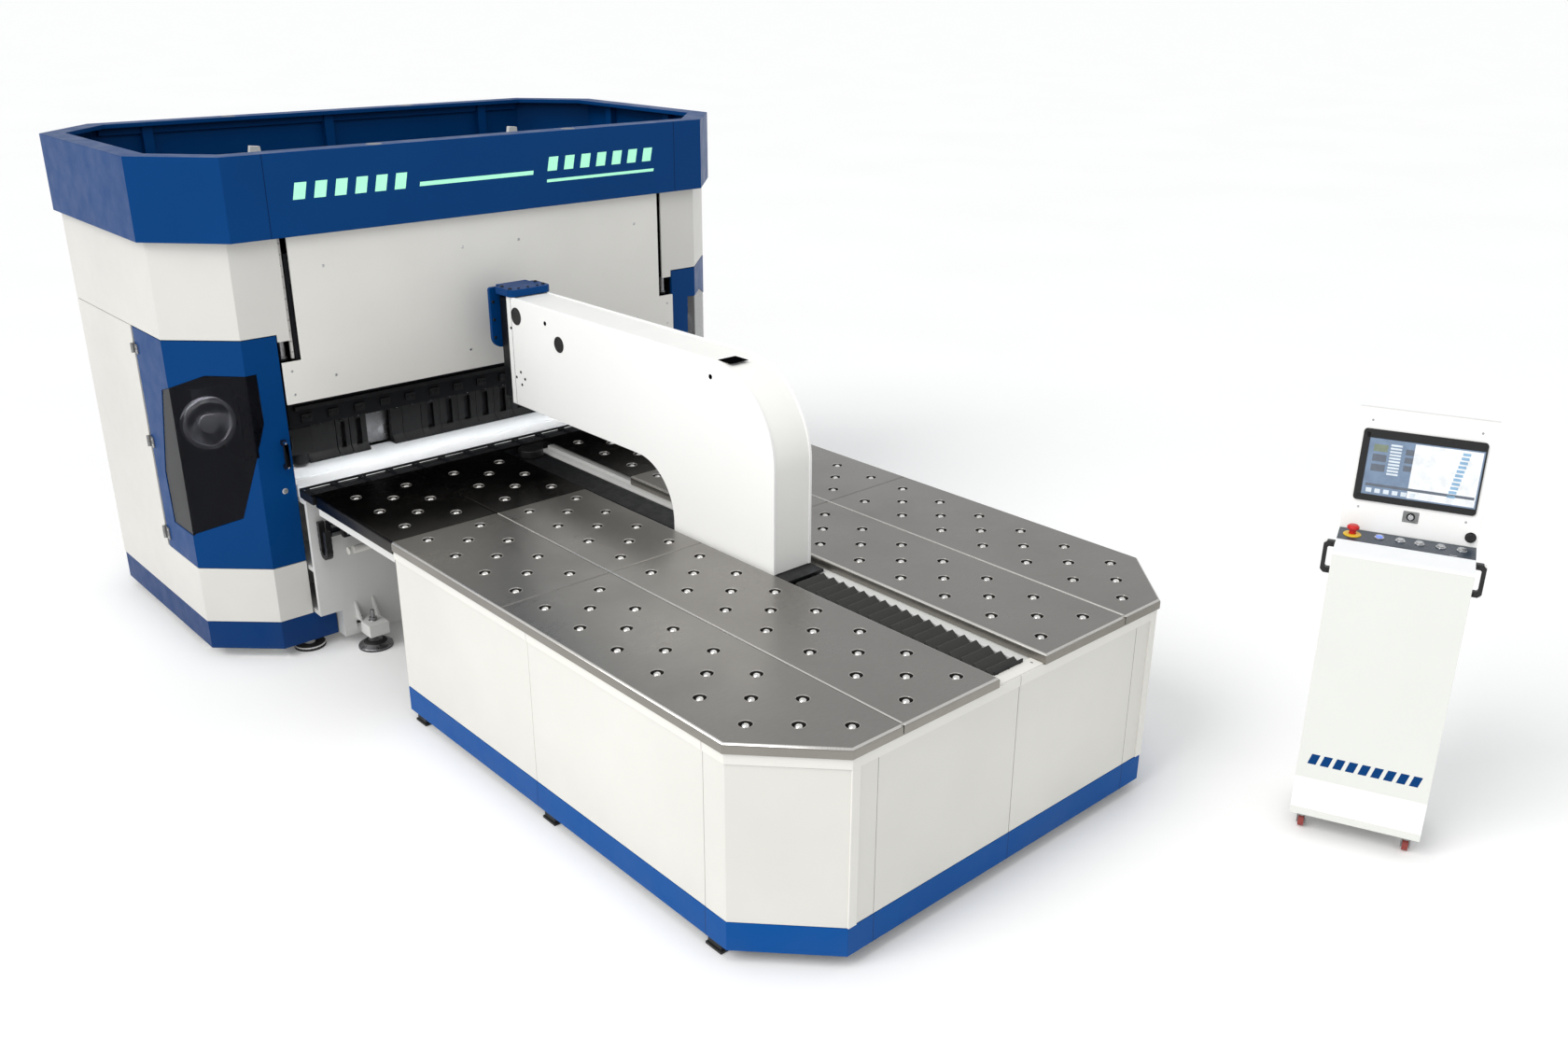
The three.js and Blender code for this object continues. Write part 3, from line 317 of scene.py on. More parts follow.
# Blue and dark paint
DEEP = {"variation": 0.05, "dust": 0.06, "gloss": 0.08}
BLUE = powder_coat("powder_blue", (0, 60, 118), roughness=0.36, variation=0.06, dust=0.03, gloss=0.08)
CROWN_INSIDE = powder_coat("powder_blue_inside", (0, 26, 66), roughness=0.5, variation=0.08, dust=0.03,
                           gloss=0.08)
KICK = powder_coat("powder_kick_blue", (0, 78, 150), roughness=0.4, **DEEP)
HEAD_KICK = powder_coat("head_kick_blue", (0, 52, 108), roughness=0.4, **DEEP)
KICK_SEAM = powder_coat("kick_seam", (0, 44, 96), roughness=0.5, gloss=0.2)
STRIP = powder_coat("control_strip", (44, 56, 70), roughness=0.3, variation=0.04, dust=0.0)
# Painted shade: the side frames inside the towers are near black so that the closed towers look dark through
# their windows.
TOWER_INSIDE_SHADE = powder_coat("tower_inside_painted_shade", (40, 41, 46), roughness=0.6, dust=0.05, gloss=0.1)
DARK = powder_coat("dark_coat", (26, 27, 30), roughness=0.55, variation=0.15, gloss=0.12)
# Painted shade: near black for holes, slits and recesses, where only shade would be seen.
SHADE_BLACK = powder_coat("painted_recess_shade", (7, 7, 8), roughness=0.9, variation=0.05, dust=0.0, gloss=0.0)

# Metal
TOOL = machined("tool_steel_black", (15, 15, 17), roughness=0.42, rust=0.05, metal=0.2)
GROUND = machined("ground_steel", (150, 150, 152), roughness=0.26)
BLACK_METAL = machined("black_oxide", (24, 25, 28), roughness=0.38, metal=0.4)
# Painted shade: the cup of each ball unit is near black, standing in for the shade inside its recess.
CUP_SHADE = machined("ball_cup_painted_shade", (34, 32, 30), roughness=0.4, scale=300.0, metal=0.3)
# Polished steel balls, made near white so that they also stand in for their highlight: partly a painted
# highlight.
BALL_WITH_HIGHLIGHT = machined("ball_steel_painted_highlight", (252, 250, 246), roughness=0.14, scale=300.0)
SILVER = machined("button_metal", (205, 206, 208), roughness=0.24)
# Bright chrome for the roller bar: its long bars stand in for the rollers' highlights (painted highlight),
# its short wires are chrome supports.
CHROME_HIGHLIGHT = machined("chrome_and_painted_highlight", (240, 240, 240), roughness=0.1, scale=300.0)
CASTER = machined("caster_zinc", (150, 150, 150), roughness=0.35)
PLATE = brushed("plate_brushed", (150, 147, 143))
DARK_PLATE = brushed("plate_dark", (36, 33, 30), roughness=0.22, stain=0.08)
# Painted highlight: a paler copy of the plate steel for a band of the rolled plate edges and one side of each
# long seam, where light catches them.
EDGE_HIGHLIGHT = brushed("edge_painted_highlight", (222, 219, 214), roughness=0.24, stain=0.04)
EDGE_SIDE = brushed("edge_side", (150, 146, 140), roughness=0.34)
# The flange ring of each ball unit, paler than the plate: partly a painted highlight where its rim catches
# light.
LIP_HIGHLIGHT = brushed("ball_lip_painted_highlight", (196, 192, 187), roughness=0.26, stain=0.04)

# Plastic, rubber, cloth and glass
BLACK_PLASTIC = moulded("black_plastic", (16, 16, 18), roughness=0.35)
RED = moulded("red_cap", (206, 28, 26), roughness=0.32, strength=0.05, wear=0.02)
YELLOW = moulded("yellow_collar", (238, 196, 46), roughness=0.4, strength=0.08, wear=0.04)
TYRE = moulded("caster_tyre", (150, 60, 54), roughness=0.5, wear=0.2)
RUBBER = moulded("black_rubber", (26, 26, 26), roughness=0.6, wear=0.2)
BELLOWS = cloth("bellows_cloth", (30, 31, 26))
GLASS = smoked("smoked_window", (8, 9, 16), 0.68)
GLASS_RIGHT = smoked("smoked_window_right", (8, 9, 16), 0.68, shine=1.0)
LIT_BLUE = glowing("lit_blue", (84, 108, 255), 1.6)
MINT = glowing("mint_inlay", (166, 244, 206), 0.35)
SCREEN = moulded("screen_glass", (126, 146, 172), roughness=0.14, strength=0.02, wear=0.02)
UI_WHITE, UI_PALE, UI_GREY, UI_GREEN, UI_BLUE = (
    moulded(f"screen_{shade}", rgb, roughness=0.2, strength=0.02, wear=0.0) for shade, rgb in (
        ("white", (246, 249, 252)), ("pale", (224, 234, 242)), ("grey", (104, 112, 124)),
        ("green", (130, 142, 122)), ("blue", (146, 184, 216))))


def both(*names):
    """The left and the right node of each name."""
    return [f"{name}_{side}" for name in names for side in ("left", "right")]


NODE_LOOKS = {
    WHITE: ["ram_cover"],
    TOWER_SHADED_WHITE: [*both("tower_cover", "side_cover"), "rear_cover"],
    PANEL_WHITE: both("side_panel", "front_panel"),
    WHITE_BRIGHT: ["console_cabinet", "manipulator_arm"],
    STRUCTURE: ["base_frame", "table_frame"],
    # The side frames carry painted shade for the inside of the towers.
    TOWER_INSIDE_SHADE: both("side_frame"),
    BLUE: ["crown_fascia", *both("tower_door"), "arm_end_bracket"],
    KICK: ["table_kick"],
    HEAD_KICK: ["head_kick"],
    DARK: ["head_roof", "upper_beam", "blade_carriage"],
    TOOL: ["tool_bank_left", "tool_bank_main", "clamp_disc", "rotator_disc"],
    GROUND: ["blade_frame", *both("levelling_foot")],
    SILVER_PAINT: both("lift_pulley"),
    PLATE: both("table_plate"),
    DARK_PLATE: both("rear_plate"),
    BED: ["clamping_bed"],
    BLACK_METAL: ["manipulator_carriage", "clamp_ram", "roller_strip"],
    BELLOWS: ["slot_bellows"],
}

# Small parts, which get a finer edge.
FINE_LOOKS = {
    BLACK_PLASTIC: ["selector_knob"],
    GLASS: ["door_window_left"],
    GLASS_RIGHT: ["door_window_right"],
    SCREEN: ["console_monitor"],
    RED: ["emergency_stop"],
    LIT_BLUE: ["lit_button"],
    SILVER: [*(f"push_button_{k}" for k in (1, 2, 3, 4)), "key_switch"],
    CASTER: both("caster_fork"),
    TYRE: both("front_wheel", "rear_wheel"),
}


def soften(obj, width, segments=2, angle=30.0, clean=True):
    """Gives an object real rounded edges of the given width, in millimetres."""
    if clean:
        weld = obj.modifiers.new("weld", "WELD")
        weld.merge_threshold = 1e-5
        flat = obj.modifiers.new("flat", "DECIMATE")
        flat.decimate_type = "DISSOLVE"
        flat.angle_limit = math.radians(0.5)
    bevel = obj.modifiers.new("edge", "BEVEL")
    bevel.width = width / 1000
    bevel.segments = segments
    bevel.limit_method = "ANGLE"
    bevel.angle_limit = math.radians(angle)
    bevel.harden_normals = True
    weighted = obj.modifiers.new("normals", "WEIGHTED_NORMAL")
    weighted.keep_sharp = True


def dress_frame(looks, edge):
    for material, nodes in looks.items():
        for node in nodes:
            obj = frame["nodes"][node]
            for slot in obj.material_slots:
                slot.material = material
            soften(obj, edge)


# ---- piece builder


class Piece:
    """Collects closed solids, each with its own material, into one object."""

    def __init__(self, name, to_frame=None):
        self.name = name
        self.bm = bmesh.new()
        self.materials = []
        self.to_frame = to_frame or place

    def index(self, material):
        if material not in self.materials:
            self.materials.append(material)
        return self.materials.index(material)

    def faces(self, points, faces, material):
        verts = [self.bm.verts.new(self.to_frame(*p)) for p in points]
        index = self.index(material)
        for corners in faces:
            face = self.bm.faces.new([verts[i] for i in corners])
            face.material_index = index

    def skin(self, loops, material, ring=False):
        """Faces between neighbouring loops of points, with closed ends. A loop of one point is a tip."""
        starts = list(itertools.accumulate((len(loop) for loop in loops), initial=0))
        runs = [range(a, b) for a, b in zip(starts, starts[1:])]
        faces = [] if ring else [tuple(reversed(runs[0])), tuple(runs[-1])]
        for a, b in zip(runs, runs[1:] + runs[:1] if ring else runs[1:]):
            for k in range(max(len(a), len(b))):
                m = k + 1
                corners = (a[k % len(a)], a[m % len(a)], b[m % len(b)], b[k % len(b)])
                faces.append(tuple(dict.fromkeys(corners)))
        points = [point for loop in loops for point in loop]
        self.faces(points, [face for face in faces if len(face) > 2], material)

    def prism(self, outline, axis, start, end, material):
        """An outline in the two other axes, drawn along one axis."""
        at = {"x": lambda p, t: (t, p[0], p[1]), "y": lambda p, t: (p[0], t, p[1]),
              "z": lambda p, t: (p[0], p[1], t)}[axis]
        self.skin([[at(p, t) for p in outline] for t in (start, end)], material)

    def box(self, x, y, z, material):
        self.prism(rect(x, y), "z", z[0], z[1], material)

    def turned(self, profile, centre, axis, material, segments=32, ring=False):
        """A turned shape: the profile lists radius against distance along the axis. A ring has no ends."""
        ahead = Vector(axis).normalized()
        side = ahead.orthogonal().normalized()
        up = ahead.cross(side)
        loops = []
        for radius, along in profile:
            at = Vector(centre) + ahead * along
            loops.append(circle(at, side, up, radius, segments) if radius else [tuple(at)])
        self.skin(loops, material, ring)

    def tube(self, path, radius, material, segments=10):
        """A round bar along a run of points."""
        run = [Vector(p) for p in path]
        loops = []
        for i, point in enumerate(run):
            ahead = (run[min(i + 1, len(run) - 1)] - run[max(i - 1, 0)]).normalized()
            hint = Vector((0, 0, 1)) if abs(ahead.z) < 0.9 else Vector((0, 1, 0))
            side = ahead.cross(hint).normalized()
            loops.append(circle(point, side, side.cross(ahead), radius, segments))
        self.skin(loops, material)

    def screw(self, centre, axis, radius=7.0, height=3.0, material=None):
        """A button-head screw with a hexagon socket."""
        profile = [(radius, 0), (radius, height * 0.35), (radius * 0.72, height), (radius * 0.42, height),
                   (radius * 0.36, height * 0.3), (0, height * 0.3)]
        self.turned(profile, centre, axis, material or BLACK_METAL, 16)

    def screws(self, xs, ys, zs, axis, radius=7.0, height=3.0, material=None):
        """Screws wherever the given x, y and z values meet."""
        for centre in itertools.product(xs, ys, zs):
            self.screw(centre, axis, radius, height, material)

    def done(self, body, slot, bevel=1.0, replaces=(), segments=2):
        bmesh.ops.recalc_face_normals(self.bm, faces=self.bm.faces)
        mesh = bpy.data.meshes.new(self.name)
        for face in self.bm.faces:
            face.smooth = True
        self.bm.to_mesh(mesh)
        self.bm.free()
        obj = new_object(self.name, mesh)
        for material in self.materials:
            mesh.materials.append(material)
        if bevel:
            soften(obj, bevel, segments, clean=False)
        else:
            mesh.set_sharp_from_angle(angle=math.radians(35))
        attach(obj, body)
        if replaces:
            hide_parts(*replaces)
        return obj


# ---- plates and ball units

# WORK is the height the sheet metal lies at. CORNER is the size of the table's cut front corners.
# The SEAM values place the joints between the plates, and EDGE is the radius of their folded edge.
PLATE_LOW, PLATE_HIGH = span("table_plate_right")
SLOT_HALF, PLATE_FRONT, _ = PLATE_LOW
TABLE_HALF, PLATE_REAR, WORK = PLATE_HIGH
REAR_PLATE_END = span("rear_plate_left")[1][1]
CORNER = (323, 342)
SEAM_CROSS, SEAM_LONG, SEAM_HALF = -1978, 691, 8
EDGE = 14
RIM = PLATE_LOW[2] + 0.2
SHEET = 3


def shifted(points, distance):
    """Moves an open run of points sideways, to the right of its direction, with mitred corners."""
    count = len(points)

    def normal(i):
        (ax, ay), (bx, by) = points[i], points[i + 1]
        length = math.hypot(bx - ax, by - ay)
        return (by - ay) / length, -(bx - ax) / length

    moved = []
    for i, (x, y) in enumerate(points):
        before = normal(max(i - 1, 0))
        after = normal(min(i, count - 2))
        scale = distance / (1 + before[0] * after[0] + before[1] * after[1])
        moved.append((x + (before[0] + after[0]) * scale, y + (before[1] + after[1]) * scale))
    return moved


def swept(piece, run, profile, material):
    """A section drawn along a run of points: each profile point is an inset from the run and a height."""
    tracks = [[(x, y, height) for x, y in shifted(run, inset)] for inset, height in profile]
    piece.skin(list(zip(*tracks)), material)


def pierced_sheet(piece, outline, holes, material):
    """A flat sheet at working height with round holes, filled by Blender's own curve tessellation."""
    curve = bpy.data.curves.new("sheet_outline", "CURVE")
    curve.dimensions = "2D"
    curve.fill_mode = "BOTH"
    curve.extrude = SHEET / 2000
    for ring in [outline] + [arc(x, y, HOLE, 0, 360, 28)[:-1] for x, y in holes]:
        spline = curve.splines.new("POLY")
        spline.points.add(len(ring) - 1)
        spline.use_cyclic_u = True
        for point, (x, y) in zip(spline.points, ring):
            at = place(x, y, 0)
            point.co = (at.x, at.y, 0, 1)
    holder = new_object("sheet_outline", curve)
    mesh = bpy.data.meshes.new_from_object(holder.evaluated_get(bpy.context.evaluated_depsgraph_get()))
    lift = (WORK - SHEET / 2) / 1000
    index = piece.index(material)
    verts = [piece.bm.verts.new((v.co.x, v.co.y, v.co.z + lift)) for v in mesh.vertices]
    for polygon in mesh.polygons:
        face = piece.bm.faces.new([verts[i] for i in polygon.vertices])
        face.material_index = index
    bpy.data.objects.remove(holder)
    bpy.data.curves.remove(curve)
    bpy.data.meshes.remove(mesh)


# Rows of ball units, four and two in turn, on the front, middle and rear plates.
WIDE_ROW, NARROW_ROW = (265, 551, 837, 1123), (408, 980)
BALL_FIELDS = (
    [-3703 + 133.3 * k for k in range(13)],
    [-1866 + 132 * k for k in range(7)],
    [-309, -441, -574, -706, -838],
)
CUT_OFF = (1123, -3703)
HOLE = 29.0


def ball_rows(side):
    """Centres of the ball units on one side of the slot; the table's corner cuts one off."""
    rows = [(y, NARROW_ROW if k % 2 else WIDE_ROW) for field in BALL_FIELDS for k, y in enumerate(field)]
    return [(side * x, y) for y, row in rows for x in row if (x, y) != CUT_OFF]


def table_plates(side, name):
    """Four front plates with a folded edge, and two rear plates, on one side of the slot."""
    s = side
    spots = ball_rows(side)
    near, far = about(SEAM_LONG, SEAM_HALF)
    front_edge = PLATE_FRONT + EDGE
    inner_x = SLOT_HALF + EDGE
    outer_x = TABLE_HALF - EDGE
    diagonal = EDGE * math.tan(math.radians(22.5))
    corner_in = (TABLE_HALF - CORNER[0] - diagonal, front_edge)
    corner_out = (outer_x, PLATE_FRONT + CORNER[1] + diagonal)
    cross_front, cross_rear = about(SEAM_CROSS, SEAM_HALF)
    fronts = (
        rect((inner_x, near), (front_edge, cross_front)),
        [(far, front_edge), corner_in, corner_out, (outer_x, cross_front), (far, cross_front)],
        rect((inner_x, near), (cross_rear, PLATE_REAR)),
        rect((far, outer_x), (cross_rear, PLATE_REAR)),
    )
    piece = Piece(f"ball_table_{name}")
    for outline in fronts:
        low = (min(p[0] for p in outline), min(p[1] for p in outline))
        high = (max(p[0] for p in outline), max(p[1] for p in outline))
        inside = [(x, y) for x, y in spots if low[0] < s * x < high[0] and low[1] < y < high[1]]
        pierced_sheet(piece, [(s * x, y) for x, y in outline], inside, PLATE)
    edge = [(TABLE_HALF, PLATE_REAR), (TABLE_HALF, PLATE_FRONT + CORNER[1]),
            (TABLE_HALF - CORNER[0], PLATE_FRONT), (SLOT_HALF, PLATE_FRONT), (SLOT_HALF, PLATE_REAR)]
    run = [(s * x, y) for x, y in edge]
    rolled = [(s * x, z) for x, z in arc(EDGE, WORK - EDGE, EDGE, 90, 180, 6)]
    # The rolled edge is split in three: the plate colour on top, a band of painted highlight, then the side
    # colour below.
    upper, bright, lower = rolled[:2], rolled[1:5], rolled[4:]
    hidden = (s * (EDGE + 0.2), WORK - EDGE)
    swept(piece, run, [*upper, hidden], PLATE)
    swept(piece, run, [*bright, hidden], EDGE_HIGHLIGHT)
    swept(piece, run, [*lower, (0, RIM), (s * 3.5, RIM), (s * 3.5, WORK - EDGE), hidden], EDGE_SIDE)
    drop = SEAM_HALF - 1.5
    quarter = arc(0, WORK - drop, drop, 90, 0, 6) + [(0, WORK - drop)]
    for at, way in ((near, 1), (far, -1)):
        outline = [(s * (at + way * u), z) for u, z in quarter]
        # One side of each long seam gets the painted highlight, the other the side colour.
        piece.prism(outline, "y", PLATE_FRONT + 1, PLATE_REAR, EDGE_HIGHLIGHT if s * way < 0 else EDGE_SIDE)
    for at, way in ((cross_front, 1), (cross_rear, -1)):
        outline = [(at + way * u, z) for u, z in quarter]
        for x in ((inner_x, near), (far, outer_x)):
            piece.prism(outline, "x", *across(s, *x), PLATE)
    # A near-black slit of painted shade where the long seam meets the front edge.
    piece.box(about(s * SEAM_LONG, 2), (PLATE_FRONT - 0.15, PLATE_FRONT + 3), (WORK - 38, WORK - 4), SHADE_BLACK)
    floor = (WORK - 12, WORK - 5)
    piece.box(across(s, inner_x, outer_x), about(SEAM_CROSS, 9), floor, BLACK_METAL)
    piece.box(about(s * SEAM_LONG, 9), (front_edge, PLATE_REAR), floor, BLACK_METAL)
    piece.done("machine", "plate_steel", bevel=0, replaces=(f"table_plate_{name}",))

    rear = Piece(f"rear_ball_table_{name}")
    start, end, outer = PLATE_REAR + 4, REAR_PLATE_END, TABLE_HALF - 3
    for low, high in ((SLOT_HALF + 2, near), (far, outer - EDGE)):
        inside = [(x, y) for x, y in spots if low < s * x < high and start < y < end]
        corners = rect((low, high), (start, end))
        pierced_sheet(rear, [(s * x, y) for x, y in corners], inside, DARK_PLATE)
    rear_run = [(s * outer, end), (s * outer, start)]
    fold = [(0, WORK - 65), (s * 3, WORK - 65), (s * 3, WORK - EDGE), (s * EDGE, WORK - 3)]
    swept(rear, rear_run, rolled + fold, DARK_PLATE)
    for at, way in ((near, 1), (far, -1)):
        rear.prism([(s * (at + way * u), z) for u, z in quarter], "y", start, end, DARK_PLATE)
    rear.box(about(s * SEAM_LONG, 9), (start, end), floor, BLACK_METAL)
    rear.done("machine", "dark_plate", bevel=0, replaces=(f"rear_plate_{name}",))

    balls = Piece(f"ball_units_{name}")
    lip = [(HOLE + out, z) for out, z in ((1.5, -0.5), (1.2, 0.8), (0.2, 1.3), (-1.2, 0.9), (-2.2, -1.5))]
    cup = [(0, -16), (21, -15.5), (24, -14.5), (25.8, -9), (26.8, -1.5), (27.8, -1.6), (26.8, -9.5),
           (24.8, -16), (21, -18), (0, -18)]
    dome = [(0, 2.0), *arc(0, -17.5, 19.5, 78, -18, 8)]
    for x, y in spots:
        # The flange ring is paler than the plate, partly a painted highlight.
        balls.turned(lip, (x, y, WORK), UP, LIP_HIGHLIGHT, 28, ring=True)
        # The cup is near black, painted shade in the recess.
        balls.turned(cup, (x, y, WORK), UP, CUP_SHADE, 28)
        # The ball is near white, partly a painted highlight.
        balls.turned(dome, (x, y, WORK), UP, BALL_WITH_HIGHLIGHT, 24)
    balls.done("machine", "plate_steel", bevel=0)


def slot_details():
    """The pleated bellows over the slot, and its end plate."""
    low, high = span("slot_bellows")
    piece = Piece("pleated_bellows")
    folds, half = 18, high[0]
    pitch = (high[1] - low[1]) / folds
    base, top = low[2] + 2, high[2] - 1
    for i in range(folds):
        y = low[1] + i * pitch
        crest = y + pitch * 0.62
        upper = [(y + 1, base + 9), (y + 2, base + 14), (crest - 5, top - 1.5), (crest, top),
                 (crest + 3, top - 3), (crest + 5, top - 8), (y + pitch + 6, base + 13),
                 (y + pitch + 6, base + 9)]
        if i == folds - 1:
            upper[-2:] = [(y + pitch, base + 13), (y + pitch, base + 9)]
        piece.prism(upper, "x", -half + 3 + (i % 2), half - 3 - (i % 2), BELLOWS)
    piece.box(about(0, half - 8), (low[1] + 2, high[1]), (base, base + 9), BELLOWS)
    made = piece.done("machine", "bellows_cloth", bevel=1.2, replaces=("slot_bellows",))
    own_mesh(made)
    end = Piece("bellows_end_plate")
    end.box((-half, half), (low[1] - 6, low[1] - 1), (low[2], high[2] + 5), BLACK_METAL)
    end.screws((-70, 0, 70), (low[1] - 6,), (high[2] - 12,), FORWARD, 5)
    end.done("machine", "black_metal", bevel=0.8)


# ---- manipulator


def curved_arm(inset=0.0):
    """Side outline of the arm in y and z, drawn in from its CAD shape."""
    low, high = span("manipulator_arm")
    outer_radius, inner_radius, underside = 440, 285, 1285
    back = -1717
    front, top = low[1] + inset, high[2] - inset
    under = underside + inset
    column = back - inset
    end = high[1] - inset
    outer = arc(low[1] + outer_radius, high[2] - outer_radius, outer_radius - inset, 90, 180, 28)
    inner = arc(back + inner_radius, underside - inner_radius, inner_radius + inset, 180, 90, 20)
    return [(end, top), *outer, (front, low[2]), (column, low[2]), *inner, (end, under)]


# Round covers (y, z, radius) and bolt holes (y, z) on both sides of the arm; the holes are drawn as
# near-black discs of painted shade.
ARM_COVERS = ((-351, 1793, 48), (-761, 1714, 43))
ARM_HOLES = ((-637, 1805), (-291, 1718), (-2021, 1807), (-361, 1482), (-315, 1445), (-401, 1450),
             (-367, 1412))


def manipulator_pieces():
    """The bent arm with paler sides in a lit copy of the white (painted light), its covers, its holes drawn
    as near-black discs of painted shade, and the blue cap on its end.
    """
    low, high = span("manipulator_arm")
    half, top = high[0], high[2]
    arm = Piece("c_frame_arm")
    arm.prism(curved_arm(4.0), "x", -half + 12, half - 12, ARM_EDGE)
    for side in (-1, 1):
        # The sides are in the paler copy of the white, painted light.
        arm.prism(curved_arm(), "x", *across(side, half - 14, half), LIT_FACE_WHITE)
    arm.done("manipulator", "white_paint", bevel=2.0, replaces=("manipulator_arm",))

    trim = Piece("arm_fittings")
    for side, (y, z, radius) in itertools.product((-1, 1), ARM_COVERS):
        profile = [(radius, -2), (radius, 2.5), (radius - 4, 4), (radius - 7, 4), (radius - 9, 1.2), (0, 1.2)]
        trim.turned(profile, (side * half, y, z), (side, 0, 0), BLACK_PLASTIC, 40)
    for side, (y, z) in itertools.product((-1, 1), ARM_HOLES):
        grow = 1.5 if z > 1800 else 1.0
        profile = [(8 * grow, -1), (8 * grow, 1.0), (5.2 * grow, 1.6), (4.2 * grow, 0.4), (0, 0.4)]
        trim.turned(profile, (side * half, y, z), (side, 0, 0), SHADE_BLACK, 16)
    # The top port is a near-black plate of painted shade.
    trim.box((-88, 16), (-2134, -2042), (top - 5, top - 3.2), SHADE_BLACK)
    for side in (-1, 1):
        trim.box(across(side, half - 0.2, half + 0.5), (-301.5, -299.5), (1290, top - 8), BLACK_METAL)
    trim.done("manipulator", "black_plastic", bevel=0)

    (_, front, bottom), (_, back, cap_top) = span("arm_end_bracket")
    bracket = Piece("arm_end_cap")
    reach, thick = 132, 38
    corner = rounded(-reach, reach, front, back, 34, 8)[:18]
    notch = [(reach, -176), (96, -176), (96, back), (-96, back), (-96, -176), (-reach, -176)]
    bracket.prism(corner + notch, "z", cap_top - thick, cap_top, BLUE)
    plate_half = 152
    lower = rounded(-plate_half, plate_half, bottom, cap_top, 60, 8)[:18]
    upper = rounded(-plate_half, plate_half, bottom, cap_top - 10, 14, 4)[10:]
    bracket.prism(lower + upper, "y", -146, back, BLUE)
    bracket.done("manipulator", "blue_paint", bevel=2.5, replaces=("arm_end_bracket",))
    bolts = Piece("arm_end_bolts")
    bolts.screws((-106, 106), (-286, -206), (cap_top,), UP, 11, 7)
    bolts.screws((-60, 0, 60), (-300,), (cap_top,), UP, 8, 5)
    bolts.screws((-134, 134), (-146,), (1640, 1740, 1840), FORWARD, 9, 5)
    bolts.done("manipulator", "black_metal", bevel=0)


def clamp_pieces():
    """The clamp column: a black slide with bright guide strips, a row of screws and a collar."""
    low, high = span("clamp_ram")
    piece = Piece("clamp_column")
    piece.box((low[0], high[0]), (low[1], high[1]), (low[2] + 20, high[2]), BLACK_METAL)
    for side in (-1, 1):
        x = side * (high[0] - 16)
        piece.box(about(x, 7), (low[1] - 5, low[1] + 1), (low[2] + 30, high[2] - 12), GROUND)
    piece.screws((0,), (low[1],), [low[2] + 70 + k * 58 for k in range(9)], FORWARD, 7, 4, SILVER)
    centre_y = sum(span("clamp_disc")[i][1] for i in (0, 1)) / 2
    piece.turned([(34, 0), (34, 18), (46, 20), (46, 24)], (0, centre_y, low[2]), UP, BLACK_METAL, 32)
    piece.done("clamp", "black_metal", bevel=1.2, replaces=("clamp_ram",))


def ram_pieces():
    """Screws on the ram's front cover."""
    (_, face, _), _ = span("ram_cover")
    cover = Piece("ram_cover_screws")
    cover.screws((-990, -180, 180, 990), (face,), (2120, 1540), FORWARD, 8, 3.5, SILVER)
    cover.screws((-1225, 1225), (face,), (1600, 1475), FORWARD, 7, 3, SILVER)
    cover.done("ram", "button_metal", bevel=0)


def head_pieces():
    """A guide strip on a dark backing in the slit on either side of the ram, over a guide cylinder."""
    for side, name in SIDES:
        rail = Piece(f"ram_guide_{name}")
        height = (1655, 2286)
        rail.box(across(side, 1182, 1200), (118, 126), height, BLACK_METAL)
        # The strip in the slit is in the darker white, painted shade.
        rail.box(across(side, 1184, 1198), (104, 118), height, TOWER_SHADED_WHITE)
        rail.screws((side * 1191.5,), (104,), range(1690, 2251, 56), FORWARD, 4.5, 3, SILVER)
        centre = (side * 1238, 132, 1652)
        rail.turned([(26, 0), (26, 16), (20, 18), (20, 104)], centre, UP, GROUND, 32)
        rail.turned([(28, -2), (28, 9), (24, 11)], centre, UP, BLACK_METAL, 32)
        rail.done("machine", "ground_steel", bevel=0.6)


# ---- crown

CROWN_TOP = CROWN_HIGH.z * 1000
CROWN_BOTTOM = CROWN_LOW.z * 1000
CROWN_BACK = back_to_mm(CROWN_HIGH)[1]
ROOF_TOP = span("head_roof")[1][2]


def slanted_bars(piece, start, count, width, gap, low, high, lean, y, material):
    """A plain row of leaning bars on an upright face, from one y to the other."""
    for k in range(count):
        x = start + k * (width + gap)
        outline = [(x, low), (x + width, low), (x + width + lean, high), (x + lean, high)]
        piece.prism(outline, "y", *y, material)


# Rows of plain bars on the crown's front: start, count, width, gap, low, high, lean.
CROWN_MARKS = (
    (-1130, 6, 62, 48, 2474, 2556, 18),
    (-435, 1, 700, 0, 2478, 2500, 4),
    (360, 7, 62, 48, 2490, 2566, 16),
    (352, 1, 750, 0, 2428, 2444, 3),
)


